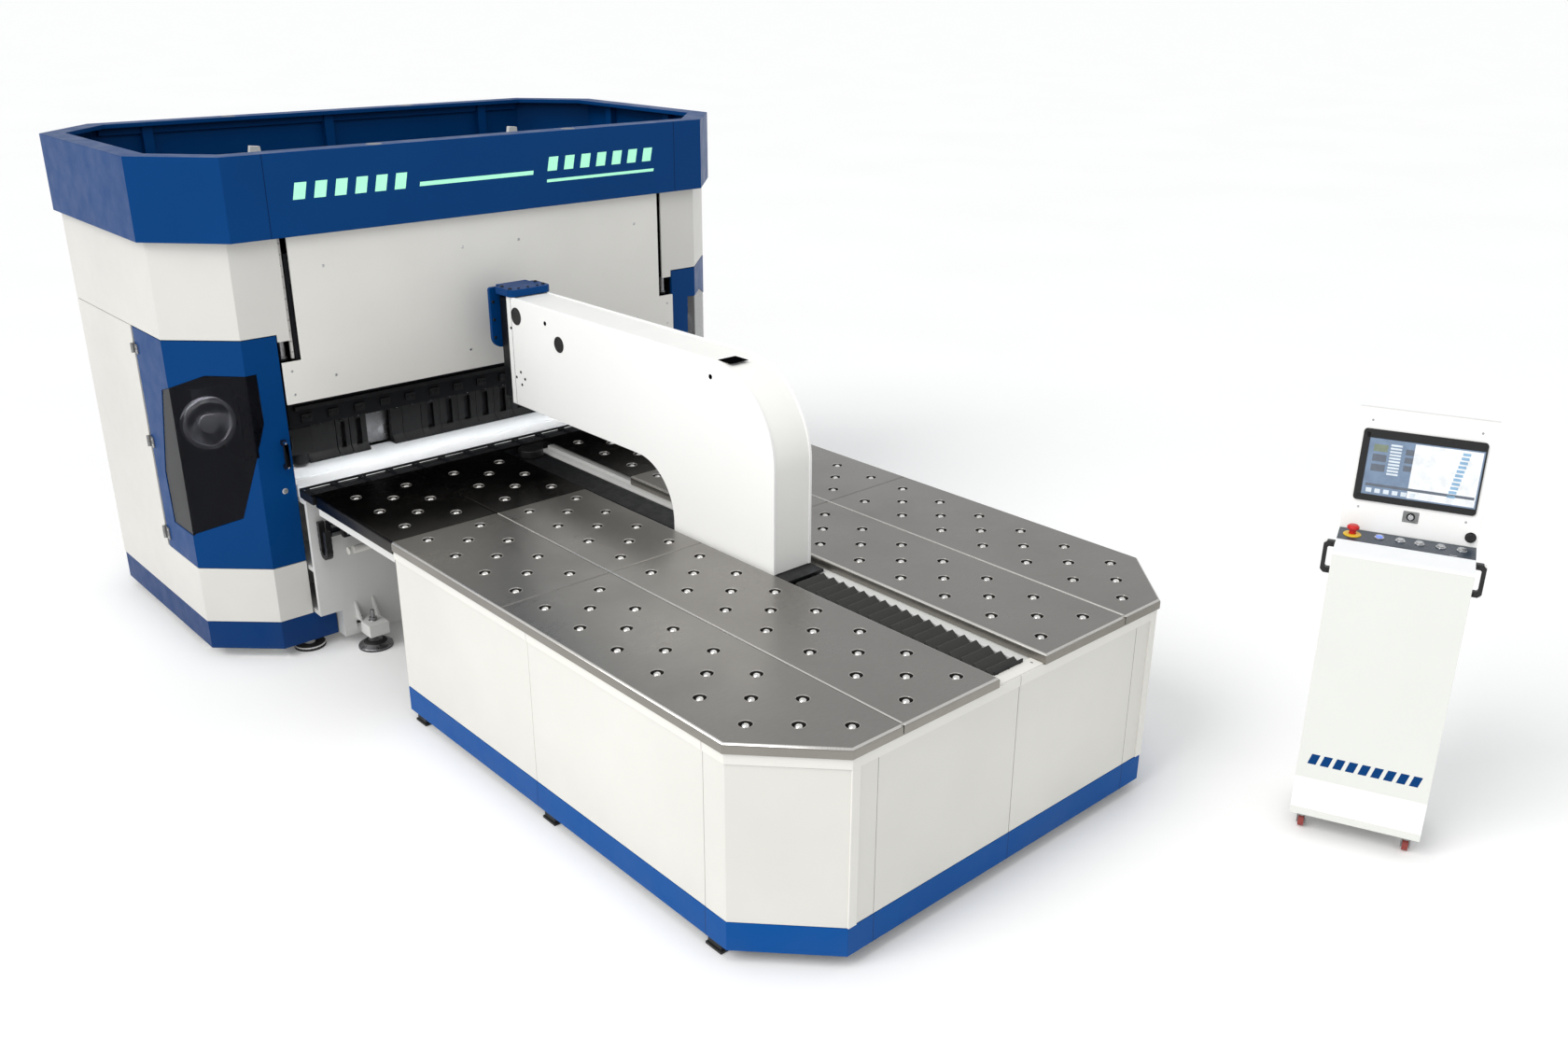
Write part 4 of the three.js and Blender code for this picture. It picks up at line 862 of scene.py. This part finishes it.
def crown_pieces():
    """Plain lit marks, seams, inner ribs, lifting lugs and lip caps of the open-topped crown."""
    marks = Piece("crown_marks")
    for row in CROWN_MARKS:
        slanted_bars(marks, *row, (-0.05, -0.75), MINT)
    marks.done("machine", "blue_paint", bevel=0)

    seams = Piece("crown_seams")
    height = (CROWN_BOTTOM + 1, CROWN_TOP - 1)
    for x in (-1262, 1262):
        seams.box(about(x, 1.6), (-0.4, 2), height, CROWN_INSIDE)
        seams.box(about(x, 1.6), (1, 120), (CROWN_TOP - 2, CROWN_TOP - 0.1), CROWN_INSIDE)
    for x in (-900, 0, 900):
        seams.box(about(x, 1.6), (CROWN_BACK - 2, CROWN_BACK - 0.05), height, CROWN_INSIDE)
    seams.done("machine", "blue_paint", bevel=0)

    inner = Piece("crown_inner_ribs")
    floor = ROOF_TOP + 1
    rib_top = CROWN_TOP - 26
    for x in (-1130, 0, 1115):
        for y in ((CROWN_BACK - 70, CROWN_BACK - 15), (15, 62)):
            inner.box(about(x, 30), y, (floor, rib_top), BLUE)
    for y in (700, 1350):
        for side in (-1, 1):
            inner.box(across(side, 1785, 1738), about(y, 30), (floor, rib_top), BLUE)
    inner.box((-1400, 1400), (CROWN_BACK - 48, CROWN_BACK - 15), (CROWN_TOP - 70, rib_top), BLUE)
    inner.done("machine", "blue_paint", bevel=2)

    lugs = Piece("crown_lifting_lugs")
    for x, y in ((-840, 1150), (840, 1150), (-840, 620), (840, 620)):
        ear = [(x - 45, floor), (x + 45, floor), (x + 34, floor + 128), (x - 22, floor + 134)]
        lugs.prism(ear, "y", *about(y, 15), STRUCTURE)
        lugs.box(about(x, 110), about(y, 60), (floor - 0.5, floor + 18), STRUCTURE)
        lugs.screws(about(x, 88), about(y, 40), (floor + 18,), UP, 10, 7)
    lugs.done("machine", "frame_paint", bevel=2)

    caps = Piece("crown_lip_caps")
    for x, y in itertools.product((-640, 550), (60, CROWN_BACK - 60)):
        caps.turned([(42, -2), (42, 0.08), (0, 0.08)], (x, y, CROWN_TOP), UP, DARK_PLATE, 36)
    caps.done("machine", "caster_metal", bevel=0)


# ---- doors


DOOR_FACE = 78
HINGE_HEIGHTS = ((592, 661), (1130, 1188), (1652, 1701))


def door_pieces():
    """The pull, the three hinges and the lock of each tower door."""
    (_, out, _), _ = span("tower_door_left")
    face = DOOR_FACE - 0.2
    grip = [(face, 1086), (out + 12, 1086), (out, 1098), (out, 1230), (out + 12, 1242), (face, 1242),
            (face, 1219), (out + 24, 1219), (out + 15, 1212), (out + 15, 1116), (out + 24, 1109),
            (face, 1109)]
    for side, name in SIDES:
        pull = Piece(f"door_pull_{name}")
        pull.prism(grip, "x", *about(side * 1319, 12), BLACK_PLASTIC)
        pull.screws((side * 1319,), (out,), (1097, 1231), FORWARD, 5, 0.9, SILVER)
        pull.done(f"door_{name}", "black_plastic", bevel=2.5)

        hinge = Piece(f"door_hinges_{name}")
        for z0, z1 in HINGE_HEIGHTS:
            half = (z1 - z0) / 2
            barrel = [(9.8, 0), (9.8, half - 0.5), (8.6, half), (9.8, half + 0.5), (9.8, z1 - z0 + 2)]
            hinge.turned(barrel, (side * 1768, 791, z0 - 1), UP, CASTER, 20)
            hinge.box(across(side, 1757.5, 1764.5), (733, 792), (z0 - 1, z1 + 1), CASTER)
            hinge.screws((side * 1764.5,), (752,), (z0 + 14, z1 - 14), (side, 0, 0), 5, 2, SILVER)
        hinge.done(f"door_{name}", "caster_metal", bevel=0.8)

        lock = Piece(f"door_lock_{name}")
        barrel = [(16, -0.2), (16, 2.5), (13.5, 4), (6, 4), (6, 1.5), (0, 1.5)]
        lock.turned(barrel, (side * 1340, DOOR_FACE, 960), FORWARD, SILVER, 28)
        lock.done(f"door_{name}", "button_metal", bevel=0)


# ---- bed, strip and tools


def bed_pieces():
    """The clamping bed with its lower ledge, and the roller bar in front of it."""
    low, high = span("clamping_bed")
    bed = Piece("clamping_bed_plate")
    step, drop = 166, 3
    bed.box((low[0], high[0]), (step, high[1]), (low[2], high[2]), BED)
    nose = arc(low[1] + 10, high[2] - drop - 10, 10, 90, 180, 6)
    ledge = [(step, high[2] - drop), *nose, (low[1], low[2]), (step, low[2])]
    bed.prism(ledge, "x", low[0], high[0], LEDGE)
    bed.done("machine", "bed_steel", bevel=1.0, replaces=("clamping_bed",))

    low, high = span("roller_strip")
    strip = Piece("roller_bar")
    strip.box((low[0], high[0]), (low[1], high[1] - 18), (low[2], high[2] - 8), BLACK_METAL)
    strip.box((low[0], high[0]), (high[1] - 20, high[1]), (low[2], high[2] - 3), BLACK_METAL)
    strip.box((low[0], high[0]), (low[1], low[1] + 16), (high[2] - 9, high[2] - 1), DARK_PLATE)
    pitch, top, rear = 160.6, high[2], high[1]
    for k in range(16):
        x = low[0] + 4 + k * pitch
        strip.box((x, x + 26), (low[1] + 18, rear - 20), (top - 9, top - 4), DARK)
        start = x + 30
        length = min(x + pitch - 4, high[0] - 4) - start
        roller = [(3, 0), (10, 0), (11.5, 1.5), (11.5, length - 1.5), (10, length), (3, length)]
        for y in (low[1] + 38, low[1] + 70):
            strip.turned(roller, (start, y, top - 12), (1, 0, 0), BLACK_METAL, 20)
        # A bright chrome bar along the top of each module, a painted highlight for its rollers.
        highlight_bar = [(2, 0), (4, 0), (4.5, 0.5), (4.5, length - 14.5), (4, length - 14), (2, length - 14)]
        strip.turned(highlight_bar, (start + 7, rear - 40, top - 5), (1, 0, 0), CHROME_HIGHLIGHT, 16)
        for dx in (7, 17):
            strip.tube([(x + dx, rear - 26, top - 4.6), (x + dx + 2, rear - 36, top - 4.2),
                        (x + dx + 1, rear - 46, top - 4.6)], 2.2, CHROME_HIGHLIGHT)
    strip.done("machine", "black_metal", bevel=0.8, replaces=("roller_strip",))


def finger(piece, x0, x1, slot, low, high, front, back):
    """One clamping segment: a slotted plate with a stepped toe and a clamp on its head."""
    middle = (x0 + x1) / 2
    toe = [(back, low), (front - 30, low), (front - 30, low + 9), (front - 12, low + 26), (front, low + 46),
           (front, high), (back, high)]
    if slot:
        half, z0, z1 = slot
        piece.prism(toe, "x", x0, middle - half, TOOL)
        piece.prism(toe, "x", middle + half, x1, TOOL)
        piece.prism([*toe[:4], (front - 6, z0), (back, z0)], "x", *about(middle, half + 1), TOOL)
        piece.box(about(middle, half + 1), (front, back), (z1, high), TOOL)
        piece.box((middle - half + 3, middle - half + 7), (front + 8, front + 14), (z0 + 12, z1 - 10),
                  BLACK_METAL)
    else:
        piece.prism(toe, "x", x0, x1, TOOL)
    piece.box(about(middle, 20), (front - 16, front + 1), (high - 30, high - 2), BLACK_METAL)
    piece.screw((middle, front - 16, high - 16), FORWARD, 7.5, 6, SILVER)


def tool_pieces():
    """The clamping segments on the ram, the changer box at their left, and the beam above them."""
    (x0, y0, z0), (x1, y1, z1) = span("tool_bank_main")
    bank = Piece("clamping_segments")
    pitch = 122
    first = -296
    plain_end = first - pitch * 1.5
    fingers = [(x0 + 1, plain_end + 1, None), (plain_end + 3, first - pitch / 2 - 1, None)]
    for k in range(12):
        centre = first + k * pitch
        fingers.append((centre - pitch / 2 + 1, centre + pitch / 2 - 1, (21, z0 + 44, z1 - 44)))
    for a, b, slot in fingers:
        finger(bank, a, b, slot, z0, z1, y0, y1)
    bank.box((x0 + 1, first + 11.5 * pitch - 1), (y1 - 12, y1 - 1), (z0 + 40, z1 - 30), BLACK_METAL)
    bank.done("ram", "tool_steel", bevel=1.5, replaces=("tool_bank_main",))

    (x0, y0, z0), (x1, y1, z1) = span("tool_bank_left")
    left = Piece("left_segments")
    face = 392
    finger(left, -1064, -888, None, z0, z1, face, y1)
    finger(left, -884, -806, (14, z0 + 40, z1 - 40), z0, z1, face, y1)
    finger(left, -802, -701, (17, z0 + 40, z1 - 40), z0, z1, face, y1)
    left.turned([(9, 0), (9, -3), (6, -3), (6, 1)], (-975, face, z0 + 108), FORWARD, BLACK_METAL, 20)
    left.box((x0, -1062), (y0, face + 28), (1065, z1), TOOL)
    motor = [(52, 0), (52, 60), (44, 66), (20, 66), (20, 74)]
    left.turned(motor, (-1127, y0 + 62, 1063), (0, 0, -1), BLACK_METAL, 36)
    handle = [(-1186, y0 + 8, 1090), (-1186, y0 - 6, 1120), (-1186, y0 - 6, 1170), (-1186, y0 + 8, 1196)]
    left.tube(handle, 5, BLACK_METAL)
    left.done("ram", "tool_steel", bevel=1.5, replaces=("tool_bank_left",))

    beam = Piece("upper_beam_fittings")
    for k in range(15):
        x = -1085 + k * 155
        beam.box(about(x, 30), (286, 301), (1246, 1290), BLACK_METAL)
        beam.screws(about(x, 16), (286,), (1268,), FORWARD, 6, 4)
    beam.box((-1150, 1150), (274, 301), (1318, 1340), BLACK_METAL)
    beam.done("ram", "dark_paint", bevel=1.2)


# ---- under the bed


def low_front_pieces():
    """The side-stop axis, its cable chain and the swarf rail under the front of the bed."""
    axis = Piece("stop_axis")
    axis.box((-1180, 1180), (-48, -3), (690, 770), DARK)
    axis.box((-1170, 1170), (-60, -47), (744, 762), GROUND)
    axis.box((-1170, 1170), (-60, -47), (698, 716), GROUND)
    for x in (-1120, 1060):
        axis.box((x, x + 90), (-92, -58), (684, 776), BLACK_METAL)
        axis.screws((x + 24, x + 66), (-92,), (704, 756), FORWARD, 7, 4, SILVER)
    axis.done("machine", "dark_paint", bevel=1.5)

    chain = Piece("cable_chain")
    path = [(-40, 788 - 18 * k) for k in range(9)]
    path += arc(-74, 628, 34, 0, -180, 8)[1:]
    path += [(-108, 640 + 18 * k) for k in range(7)]
    for k, (start, end) in enumerate(zip(path, path[1:])):
        start, end = Vector(start), Vector(end)
        ahead = (end - start).normalized()
        out = Vector((-ahead.y, ahead.x))
        middle = (start + end) / 2
        outline = [tuple(middle + ahead * u + out * v) for u, v in rect((-10.5, 10.5), (-13, 13))]
        chain.prism(outline, "x", -1238 + (k % 2), -1202 - (k % 2), BLACK_PLASTIC)
    chain.done("machine", "black_plastic", bevel=1.5)

    rail = Piece("swarf_rail")
    for x in (-1080, 1080):
        inward = (math.copysign(-1, x), 0, 0)
        rail.turned([(6, 0), (14, 1), (20, 6), (22, 14)], (x, -60, 590), inward, WHITE, 28)
    rail.turned([(22, 0), (22, 2132)], (-1066, -60, 590), (1, 0, 0), WHITE, 28)
    for x in (-900, 0, 900):
        rail.box(about(x, 15), (-44, 1), (575, 605), STRUCTURE)
    rail.done("machine", "white_paint", bevel=1)

    feet = Piece("foot_details")
    (x0, y0, _), (x1, y1, _) = span("levelling_foot_right")
    foot_x, foot_y, reach = (x0 + x1) / 2, (y0 + y1) / 2, (x1 - x0) / 2
    for side in (-1, 1):
        x = side * foot_x
        for edge in (x - 58, x + 46):
            feet.prism([(0, 88), (0, 260), (-60, 160), (-60, 88)], "x", edge, edge + 12, STRUCTURE)
        pad = [(reach - 2, 0.5), (reach + 0.4, 3), (reach + 0.4, 9), (reach - 8, 14.5), (62, 34.5),
               (40, 44.5)]
        feet.turned(pad, (x, foot_y, 0), UP, RUBBER, 48)
        feet.turned([(26, 158.2), (26, 162)], (x, foot_y, 0), UP, SILVER, 24)
        feet.turned([(83, 0.5), (86.4, 4), (86.4, 12), (82, 25)], (side * 1290, 150, 0), UP, RUBBER, 40)
    feet.done("machine", "frame_paint", bevel=1.0)


# ---- table cladding


SIDE_SEAM = -2165


def table_cladding():
    """The folded side, corner and front panels of the table with their recessed fields in painted shade, dark
    blocks over its legs as painted shade under the kick, its kick plate seams and lid.
    """
    (_, front, bottom), (half, seam, top) = span("front_panel_right")
    _, (_, rear, _) = span("side_panel_right")
    shoulder, border, recess, depth = 882, 42, 6.0, 11
    for side, name in SIDES:
        lip = side * (recess + 1)
        # The recessed field is in the darker copy of the white, painted shade for the recess.
        field = rect((side * recess, side * depth), (bottom, shoulder))
        band = [(lip, shoulder), (0, shoulder + 5), (0, top - 3), (side * 1.5, top),
                (side * depth, top), (side * depth, shoulder)]
        rim = rect((0, lip), (bottom, shoulder + 6))
        corner = Piece(f"corner_panels_{name}")
        toe = half - CORNER[0] + 2
        knee = front + CORNER[1] - 4
        run = [(side * half, seam), (side * half, knee), (side * toe, front), (side * 2, front)]
        swept(corner, run, field, RECESS_SHADE_WHITE)
        swept(corner, run, band, PANEL_WHITE)
        swept(corner, [(side * toe, front), (side * (toe - border), front)], rim, PANEL_WHITE)
        corner.box(across(side, 804.8, 807.2), (front + recess - 0.4, front + recess + 1),
                   (bottom + 1, shoulder), SEAM)
        corner.done("machine", "white_paint", bevel=1.6, replaces=(f"front_panel_{name}",))
        long_panel = Piece(f"long_panels_{name}")
        for start, end in ((seam + 3, SIDE_SEAM - 1.2), (SIDE_SEAM + 1.2, rear)):
            ends = [(side * half, end), (side * half, start)]
            swept(long_panel, ends, field, RECESS_SHADE_WHITE)
            swept(long_panel, ends, band, PANEL_WHITE)
        long_panel.done("machine", "white_paint", bevel=1.6, replaces=(f"side_panel_{name}",))

    # Painted shade: dark blocks over the legs below the kick, where there is only shade under the table.
    leg_shade = Piece("table_leg_painted_shade")
    for x in (-1210, 1210):
        for y in (-3420, -2260, -1090):
            leg_shade.box(about(x, 31), (y - 1, y + 81), (0.2, 58), RUBBER)
            leg_shade.box(about(x, 38), (y - 8, y + 88), (0.2, 12), RUBBER)
    leg_shade.done("machine", "black_plastic", bevel=2)

    kick = Piece("kick_seams")
    (_, kick_front, low), (kick_half, _, high) = span("table_kick")
    height = (low + 0.5, high - 0.5)
    for x in (-806, 0, 806):
        kick.box(about(x, 1.4), (kick_front - 0.3, kick_front + 1), height, KICK_SEAM)
    for side in (-1, 1):
        for y in (seam + 1.5, SIDE_SEAM):
            kick.box(across(side, kick_half - 1, kick_half + 0.3), about(y, 1.4), height, KICK_SEAM)
    kick.done("machine", "kick_paint", bevel=0)

    lid = Piece("slot_front_cover")
    lid.box(about(0, SLOT_HALF - 1), (PLATE_FRONT + 12, PLATE_FRONT + 78), (931, 938), WHITE)
    lid.screws((-110, 110), (PLATE_FRONT + 45,), (938,), UP, 6, 3, SILVER)
    lid.done("machine", "white_paint", bevel=1.0)


def back_pieces():
    """Service panels with button-head screws, louvres and a supply gland on the back of the head."""
    low, high = span("rear_cover")
    face = high[1]
    back = Piece("rear_service_panels")
    for x0, x1 in ((-1420, -482), (-478, 478), (482, 1420)):
        back.box((x0, x1), (face - 1, face + 3.5), (low[2] + 20, 1240), WHITE)
        back.box((x0, x1), (face - 1, face + 3.5), (1244, high[2] - 12), WHITE)
        heights = (low[2] + 60, 1200, 1284, high[2] - 60)
        back.screws((x0 + 40, x1 - 40), (face + 3.5,), heights, BACKWARD, 9, 3, SILVER)
    back.done("machine", "white_paint", bevel=1.2)
    vents = Piece("rear_louvres")
    for centre in (-950, 950):
        vents.box(about(centre, 232), (face + 2, face + 4.2), (1780, 2130), DARK)
        for z in range(1795, 2096, 25):
            blade = [(face + 3, z), (face + 9, z - 4), (face + 9.8, z - 1), (face + 3.5, z + 13)]
            vents.prism(blade, "x", *about(centre, 222), WHITE)
    vents.done("machine", "white_paint", bevel=0.5)
    inlet = Piece("supply_gland")
    inlet.box((1180, 1330), (face + 3, face + 14), (300, 420), DARK)
    gland = [(24, 0), (24, 8), (20, 9), (20, 18), (12, 20), (12, 6), (0, 6)]
    inlet.turned(gland, (1255, face + 14, 360), BACKWARD, BLACK_PLASTIC, 24)
    inlet.done("machine", "dark_paint", bevel=1.0)


# ---- console

JOINTS = {joint["name"]: joint for joint in frame["record"]["behaviour"]["joints"]}
CASTER_LEFT = Vector(JOINTS["caster_left_swivel"]["pos_m"])
CASTER_RIGHT = Vector(JOINTS["caster_right_swivel"]["pos_m"])
ACROSS = (CASTER_RIGHT - CASTER_LEFT).normalized()
AWAY = Vector((0, 0, 1)).cross(ACROSS)
CONSOLE_ORIGIN = (CASTER_LEFT + CASTER_RIGHT) / 2 - AWAY * 0.052
CONSOLE_ORIGIN.z = 0
SHELF, SHELF_DEPTH, SIDE = 1343, 302, 266
FACE_TILT = math.atan2(83, 517)
FACE_HEIGHT = math.hypot(83, 517)


def at_console(x, y, z):
    return CONSOLE_ORIGIN + ACROSS * (x / 1000) + AWAY * (y / 1000) + Vector((0, 0, z / 1000))


def at_face(x, out, up):
    """A point of the sloping face: across it, out of it, and up the slope, from its foot."""
    y = SHELF_DEPTH - out * math.cos(FACE_TILT) + up * math.sin(FACE_TILT)
    z = SHELF + out * math.sin(FACE_TILT) + up * math.cos(FACE_TILT)
    return at_console(x, y, z)


def monitor_piece():
    """The display: a frame, the glass, and plain blocks of colour where a picture would be."""
    screen = Piece("console_display", at_face)
    x0, x1, z0, z1 = -235, 238, 132, 436
    left, right, bottom, top = -207, 232, 160, 400
    screen.prism(rounded(x0, x1, z0, z1, 14), "y", 1.2, 9.5, BLACK_PLASTIC)
    for x in ((x0 + 2, left), (right, x1 - 2)):
        screen.box(x, (9, 12.5), (z0 + 14, z1 - 14), BLACK_PLASTIC)
    for z in ((z0 + 2, bottom), (top, z1 - 2)):
        screen.box((x0 + 14, x1 - 14), (9, 12.5), z, BLACK_PLASTIC)
    screen.box((left, right), (9, 10.0), (bottom, top), SCREEN)

    def patch(x, z, material, lift=0.3):
        screen.box(x, (9.9, 10.0 + lift), z, material)

    def column(x, highest, pitch, height, shades):
        for k, shade in enumerate(shades):
            patch(x, (highest - k * pitch - height, highest - k * pitch), shade)

    column((-186, -132), 375, 42, 30, (UI_GREEN, UI_GREY, UI_GREY))
    column((-122, -78), 381, 13.5, 8, [UI_PALE] * 10)
    column((-62, -30), 368, 34, 24, [UI_GREY] * 3)
    patch((-196, 222), (196, 208), UI_GREY)
    for k in range(6):
        patch((-190 + k * 34, -168 + k * 34), (170, 188), UI_PALE)
    patch((-30, 226), (166, 394), UI_WHITE, 0.2)
    for k in range(11):
        patch((150 - k * 3, 180 - k * 3), (372 - k * 18, 384 - k * 18), UI_BLUE)
    screen.done("console", "screen", bevel=0.8, replaces=("console_monitor",))

    # The face sheet is in the paler copy of the white, painted light on the sloping face.
    sheet = Piece("console_face_sheet", at_face)
    sheet.prism(rounded(-SIDE + 2, SIDE - 2, 4, FACE_HEIGHT - 3, 4), "y", -0.5, 0.6, LIT_FACE_WHITE)
    sheet.done("console", "white_paint", bevel=0)

    plate = Piece("key_plate", at_face)
    plate.prism(rounded(-31, 31, 63, 111, 4), "y", 0.1, 1.6, CASTER)
    plate.screws((-25, 25), (1.6,), (69, 105), BACKWARD, 2.6, 1.2, SILVER)
    plate.turned([(17, 1.5), (17, 4.5), (15, 6), (12, 6)], (0, 0, 88), BACKWARD, BLACK_PLASTIC, 32)
    plate.turned([(22, 0.1), (22, 2.2), (20, 3), (18, 3)], (236, 0, 40), BACKWARD, BLACK_PLASTIC, 32)
    plate.screws((-208, 208), (0.1,), (100, 472), BACKWARD, 5, 1.8, SILVER)
    plate.done("console", "black_plastic", bevel=0)


def console_pieces():
    """The control strip, grips, label dashes, casing and wheel hubs round the console's cabinet."""
    monitor_piece()
    strip = Piece("control_strip", at_console)
    top = SHELF + 1.3
    dash = (top - 0.2, top + 0.35)
    strip.box(about(0, SIDE - 1), (160, SHELF_DEPTH - 0.5), (SHELF + 0.1, top), STRIP)
    for x in (-104, -23, 51, 132, 211):
        collar = [(20, -0.2), (20, 3.4), (18, 5.4), (13.2, 5.4), (13.2, 0)]
        strip.turned(collar, (x, 239, top), UP, SILVER, 32)
        strip.box(about(x, 15), (272, 275.5), dash, DASH)
        strip.box(about(x, 9), (280, 283), dash, DASH)
    strip.turned([(36, -0.2), (36, 3), (32, 6), (16, 6), (16, 0)], (-210, 231, top), UP, YELLOW, 44)
    strip.box((168, 196), (168, 171), dash, DASH)
    strip.done("console", "dark_paint", bevel=0.4)

    wall = SIDE - 0.5
    grips = Piece("console_handles", at_console)
    for side in (-1, 1):
        outline = [(wall, 1191), (296, 1191), (310.2, 1206), (310.2, 1320), (296, 1335), (wall, 1335),
                   (wall, 1311), (288, 1311), (293.5, 1305), (293.5, 1221), (288, 1215), (wall, 1215)]
        grips.prism([(side * x, z) for x, z in outline], "y", 138.5, 161.5, BLACK_PLASTIC)
        grips.screws((side * 278,), (138.5,), (1203, 1323), FORWARD, 4, 1.6)
    grips.done("console", "black_plastic", bevel=3.0, segments=3)

    marks = Piece("console_marks", at_console)
    slanted_bars(marks, -226, 9, 34, 17, 352, 402, 14, (-1.1, -1.6), BLUE)
    marks.done("console", "blue_paint", bevel=0)

    casing = Piece("console_casing", at_console)
    # The upright front is in the darker copy of the white, painted shade.
    casing.box((-wall, wall), (-1.0, 1), (282, SHELF - 12), CONSOLE_FRONT_SHADE)
    fold = [(-1.0, 280), (-2.2, 150), (-2.2, 132), (-0.6, 128), (2, 128), (2, 280)]
    casing.prism(fold, "x", -wall, wall, LEDGE)
    casing.box((-wall, wall), (-1.4, 2), (95, 126), CONSOLE_FRONT_SHADE)
    shelf_lip = [(-1.2, SHELF - 11), (-1.2, SHELF - 1), (0.5, SHELF + 0.4), (158, SHELF + 1.2),
                 (158, SHELF - 1), (3, SHELF - 11)]
    casing.prism(shelf_lip, "x", -wall, wall, LEDGE)
    casing.box(about(0, SIDE - 24), (399, 402), (150, 1380), WHITE_BRIGHT)
    for z in range(1120, 1297, 22):
        casing.box((-120, 120), (401.5, 404), (z, z + 8), DARK)
    for z in (240, 760, 1330):
        casing.turned([(11, 0), (11, 2.5), (8, 4), (0, 4)], (SIDE - 50, 402, z), BACKWARD, SILVER, 24)
    casing.done("console", "white_paint", bevel=0.6)

    cap = [(20, 0), (20, 0.8), (16, 1.2), (8, 1.2), (6, 1.6), (0, 1.6)]
    for (side, name), (row, y) in itertools.product(SIDES, (("front", 68), ("rear", 364))):
        hub = Piece(f"{row}_hub_{name}", at_console)
        for face in (-1, 1):
            hub.turned(cap, (side * 215 + face * 11.6, y, 30), (face, 0, 0), CASTER, 24)
        hub.done(f"wheel_{row}_{name}", "caster_metal", bevel=0)


def build_pieces():
    for side, name in SIDES:
        table_plates(side, name)
    slot_details()
    manipulator_pieces()
    clamp_pieces()
    ram_pieces()
    head_pieces()
    crown_pieces()
    door_pieces()
    bed_pieces()
    tool_pieces()
    low_front_pieces()
    table_cladding()
    back_pieces()
    console_pieces()


# ---- floor, light and camera


def studio_floor():
    mesh = bpy.data.meshes.new("studio_floor")
    mesh.from_pydata([(-400, -400, 0), (400, -400, 0), (400, 400, 0), (-400, 400, 0)], [], [(0, 1, 2, 3)])
    floor = new_object("studio_floor", mesh)
    n = Nodes("floor_coat")
    cloud = n.noise(0.4)
    colour = n.mixed(n.ranged(cloud, 0.3, 0.7), (0.955, 0.955, 0.95, 1), (0.975, 0.975, 0.97, 1))
    n.link(colour, "Emission Color")
    n.fixed(Emission_Strength=0.06)
    mesh.materials.append(n.done(colour, n.ranged(cloud, 0.3, 0.7, 0.75, 0.85), n.bump(cloud, 0.02, 0.001)))


def lamp(name, kind, power, aim, location=(0, 0, 0), colour=(1, 1, 1)):
    data = bpy.data.lights.new(name, kind)
    data.energy, data.color = power, colour
    holder = new_object(name, data)
    holder.location = location
    holder.rotation_mode = "QUATERNION"
    holder.rotation_quaternion = Vector(aim).to_track_quat("-Z", "Y")
    return data


def area_light(name, location, target, size, power, spread=180):
    data = lamp(name, "AREA", power, Vector(target) - Vector(location), location)
    data.shape = "RECTANGLE"
    data.size, data.size_y = size
    data.spread = math.radians(spread)


def studio_light():
    """A pale sky, a soft sun, two large panels, and small lamps over the bed and inside the towers."""
    world = bpy.data.worlds.new("studio")
    world.use_nodes = True
    background = world.node_tree.nodes["Background"]
    background.inputs["Color"].default_value = (0.97, 0.985, 1.0, 1)
    background.inputs["Strength"].default_value = 0.74
    bpy.context.scene.world = world
    lamp("key_sun", "SUN", 1.15, (0.72, -0.10, -0.70), colour=(1.0, 0.985, 0.96)).angle = math.radians(32)
    area_light("key_panel", (-9.5, -2.5, 6.5), (-0.5, -0.6, 0.9), (5, 5), 80)
    area_light("head_fill", (-2.6, -2.0, 5.2), (0, 1.6, 1.3), (2.6, 2.0), 40)
    area_light("bed_fill", (0, 1.585, 1.33), (0, 1.66, 0.98), (2.3, 0.05), 1.6, spread=80)
    for side in (-1, 1):
        above, target = (side * 1.67, 1.785, 1.66), (side * 1.56, 1.85, 1.29)
        area_light("tower_lamp", above, target, (0.05, 0.05), 0.8, spread=70)


def photo_camera():
    """The photograph's viewpoint, placed from the crown's front face and the machine's centre plane."""
    yaw, pitch, roll = (math.radians(v) for v in (42.15, 21.85, 0.28))
    ahead = Vector((math.sin(yaw) * math.cos(pitch), math.cos(yaw) * math.cos(pitch), -math.sin(pitch)))
    level = Vector((math.cos(yaw), -math.sin(yaw), 0))
    rise = level.cross(ahead)
    right = level * math.cos(roll) + rise * math.sin(roll)
    up = right.cross(ahead)
    data = bpy.data.cameras.new("photo_camera")
    data.sensor_fit = "HORIZONTAL"
    data.sensor_width = 36.0
    data.lens = 31.58
    data.clip_end = 1500
    camera = new_object("photo_camera", data)
    camera.matrix_world = Matrix((right, up, -ahead)).transposed().to_4x4()
    camera.location = place(-3975.2, -6792.7, 3525.8)
    bpy.context.scene.camera = camera


photo_camera()
dress_frame(NODE_LOOKS, 2.5)
dress_frame(FINE_LOOKS, 0.6)
build_pieces()
studio_floor()
studio_light()
bpy.context.scene.view_settings.view_transform = "Standard"
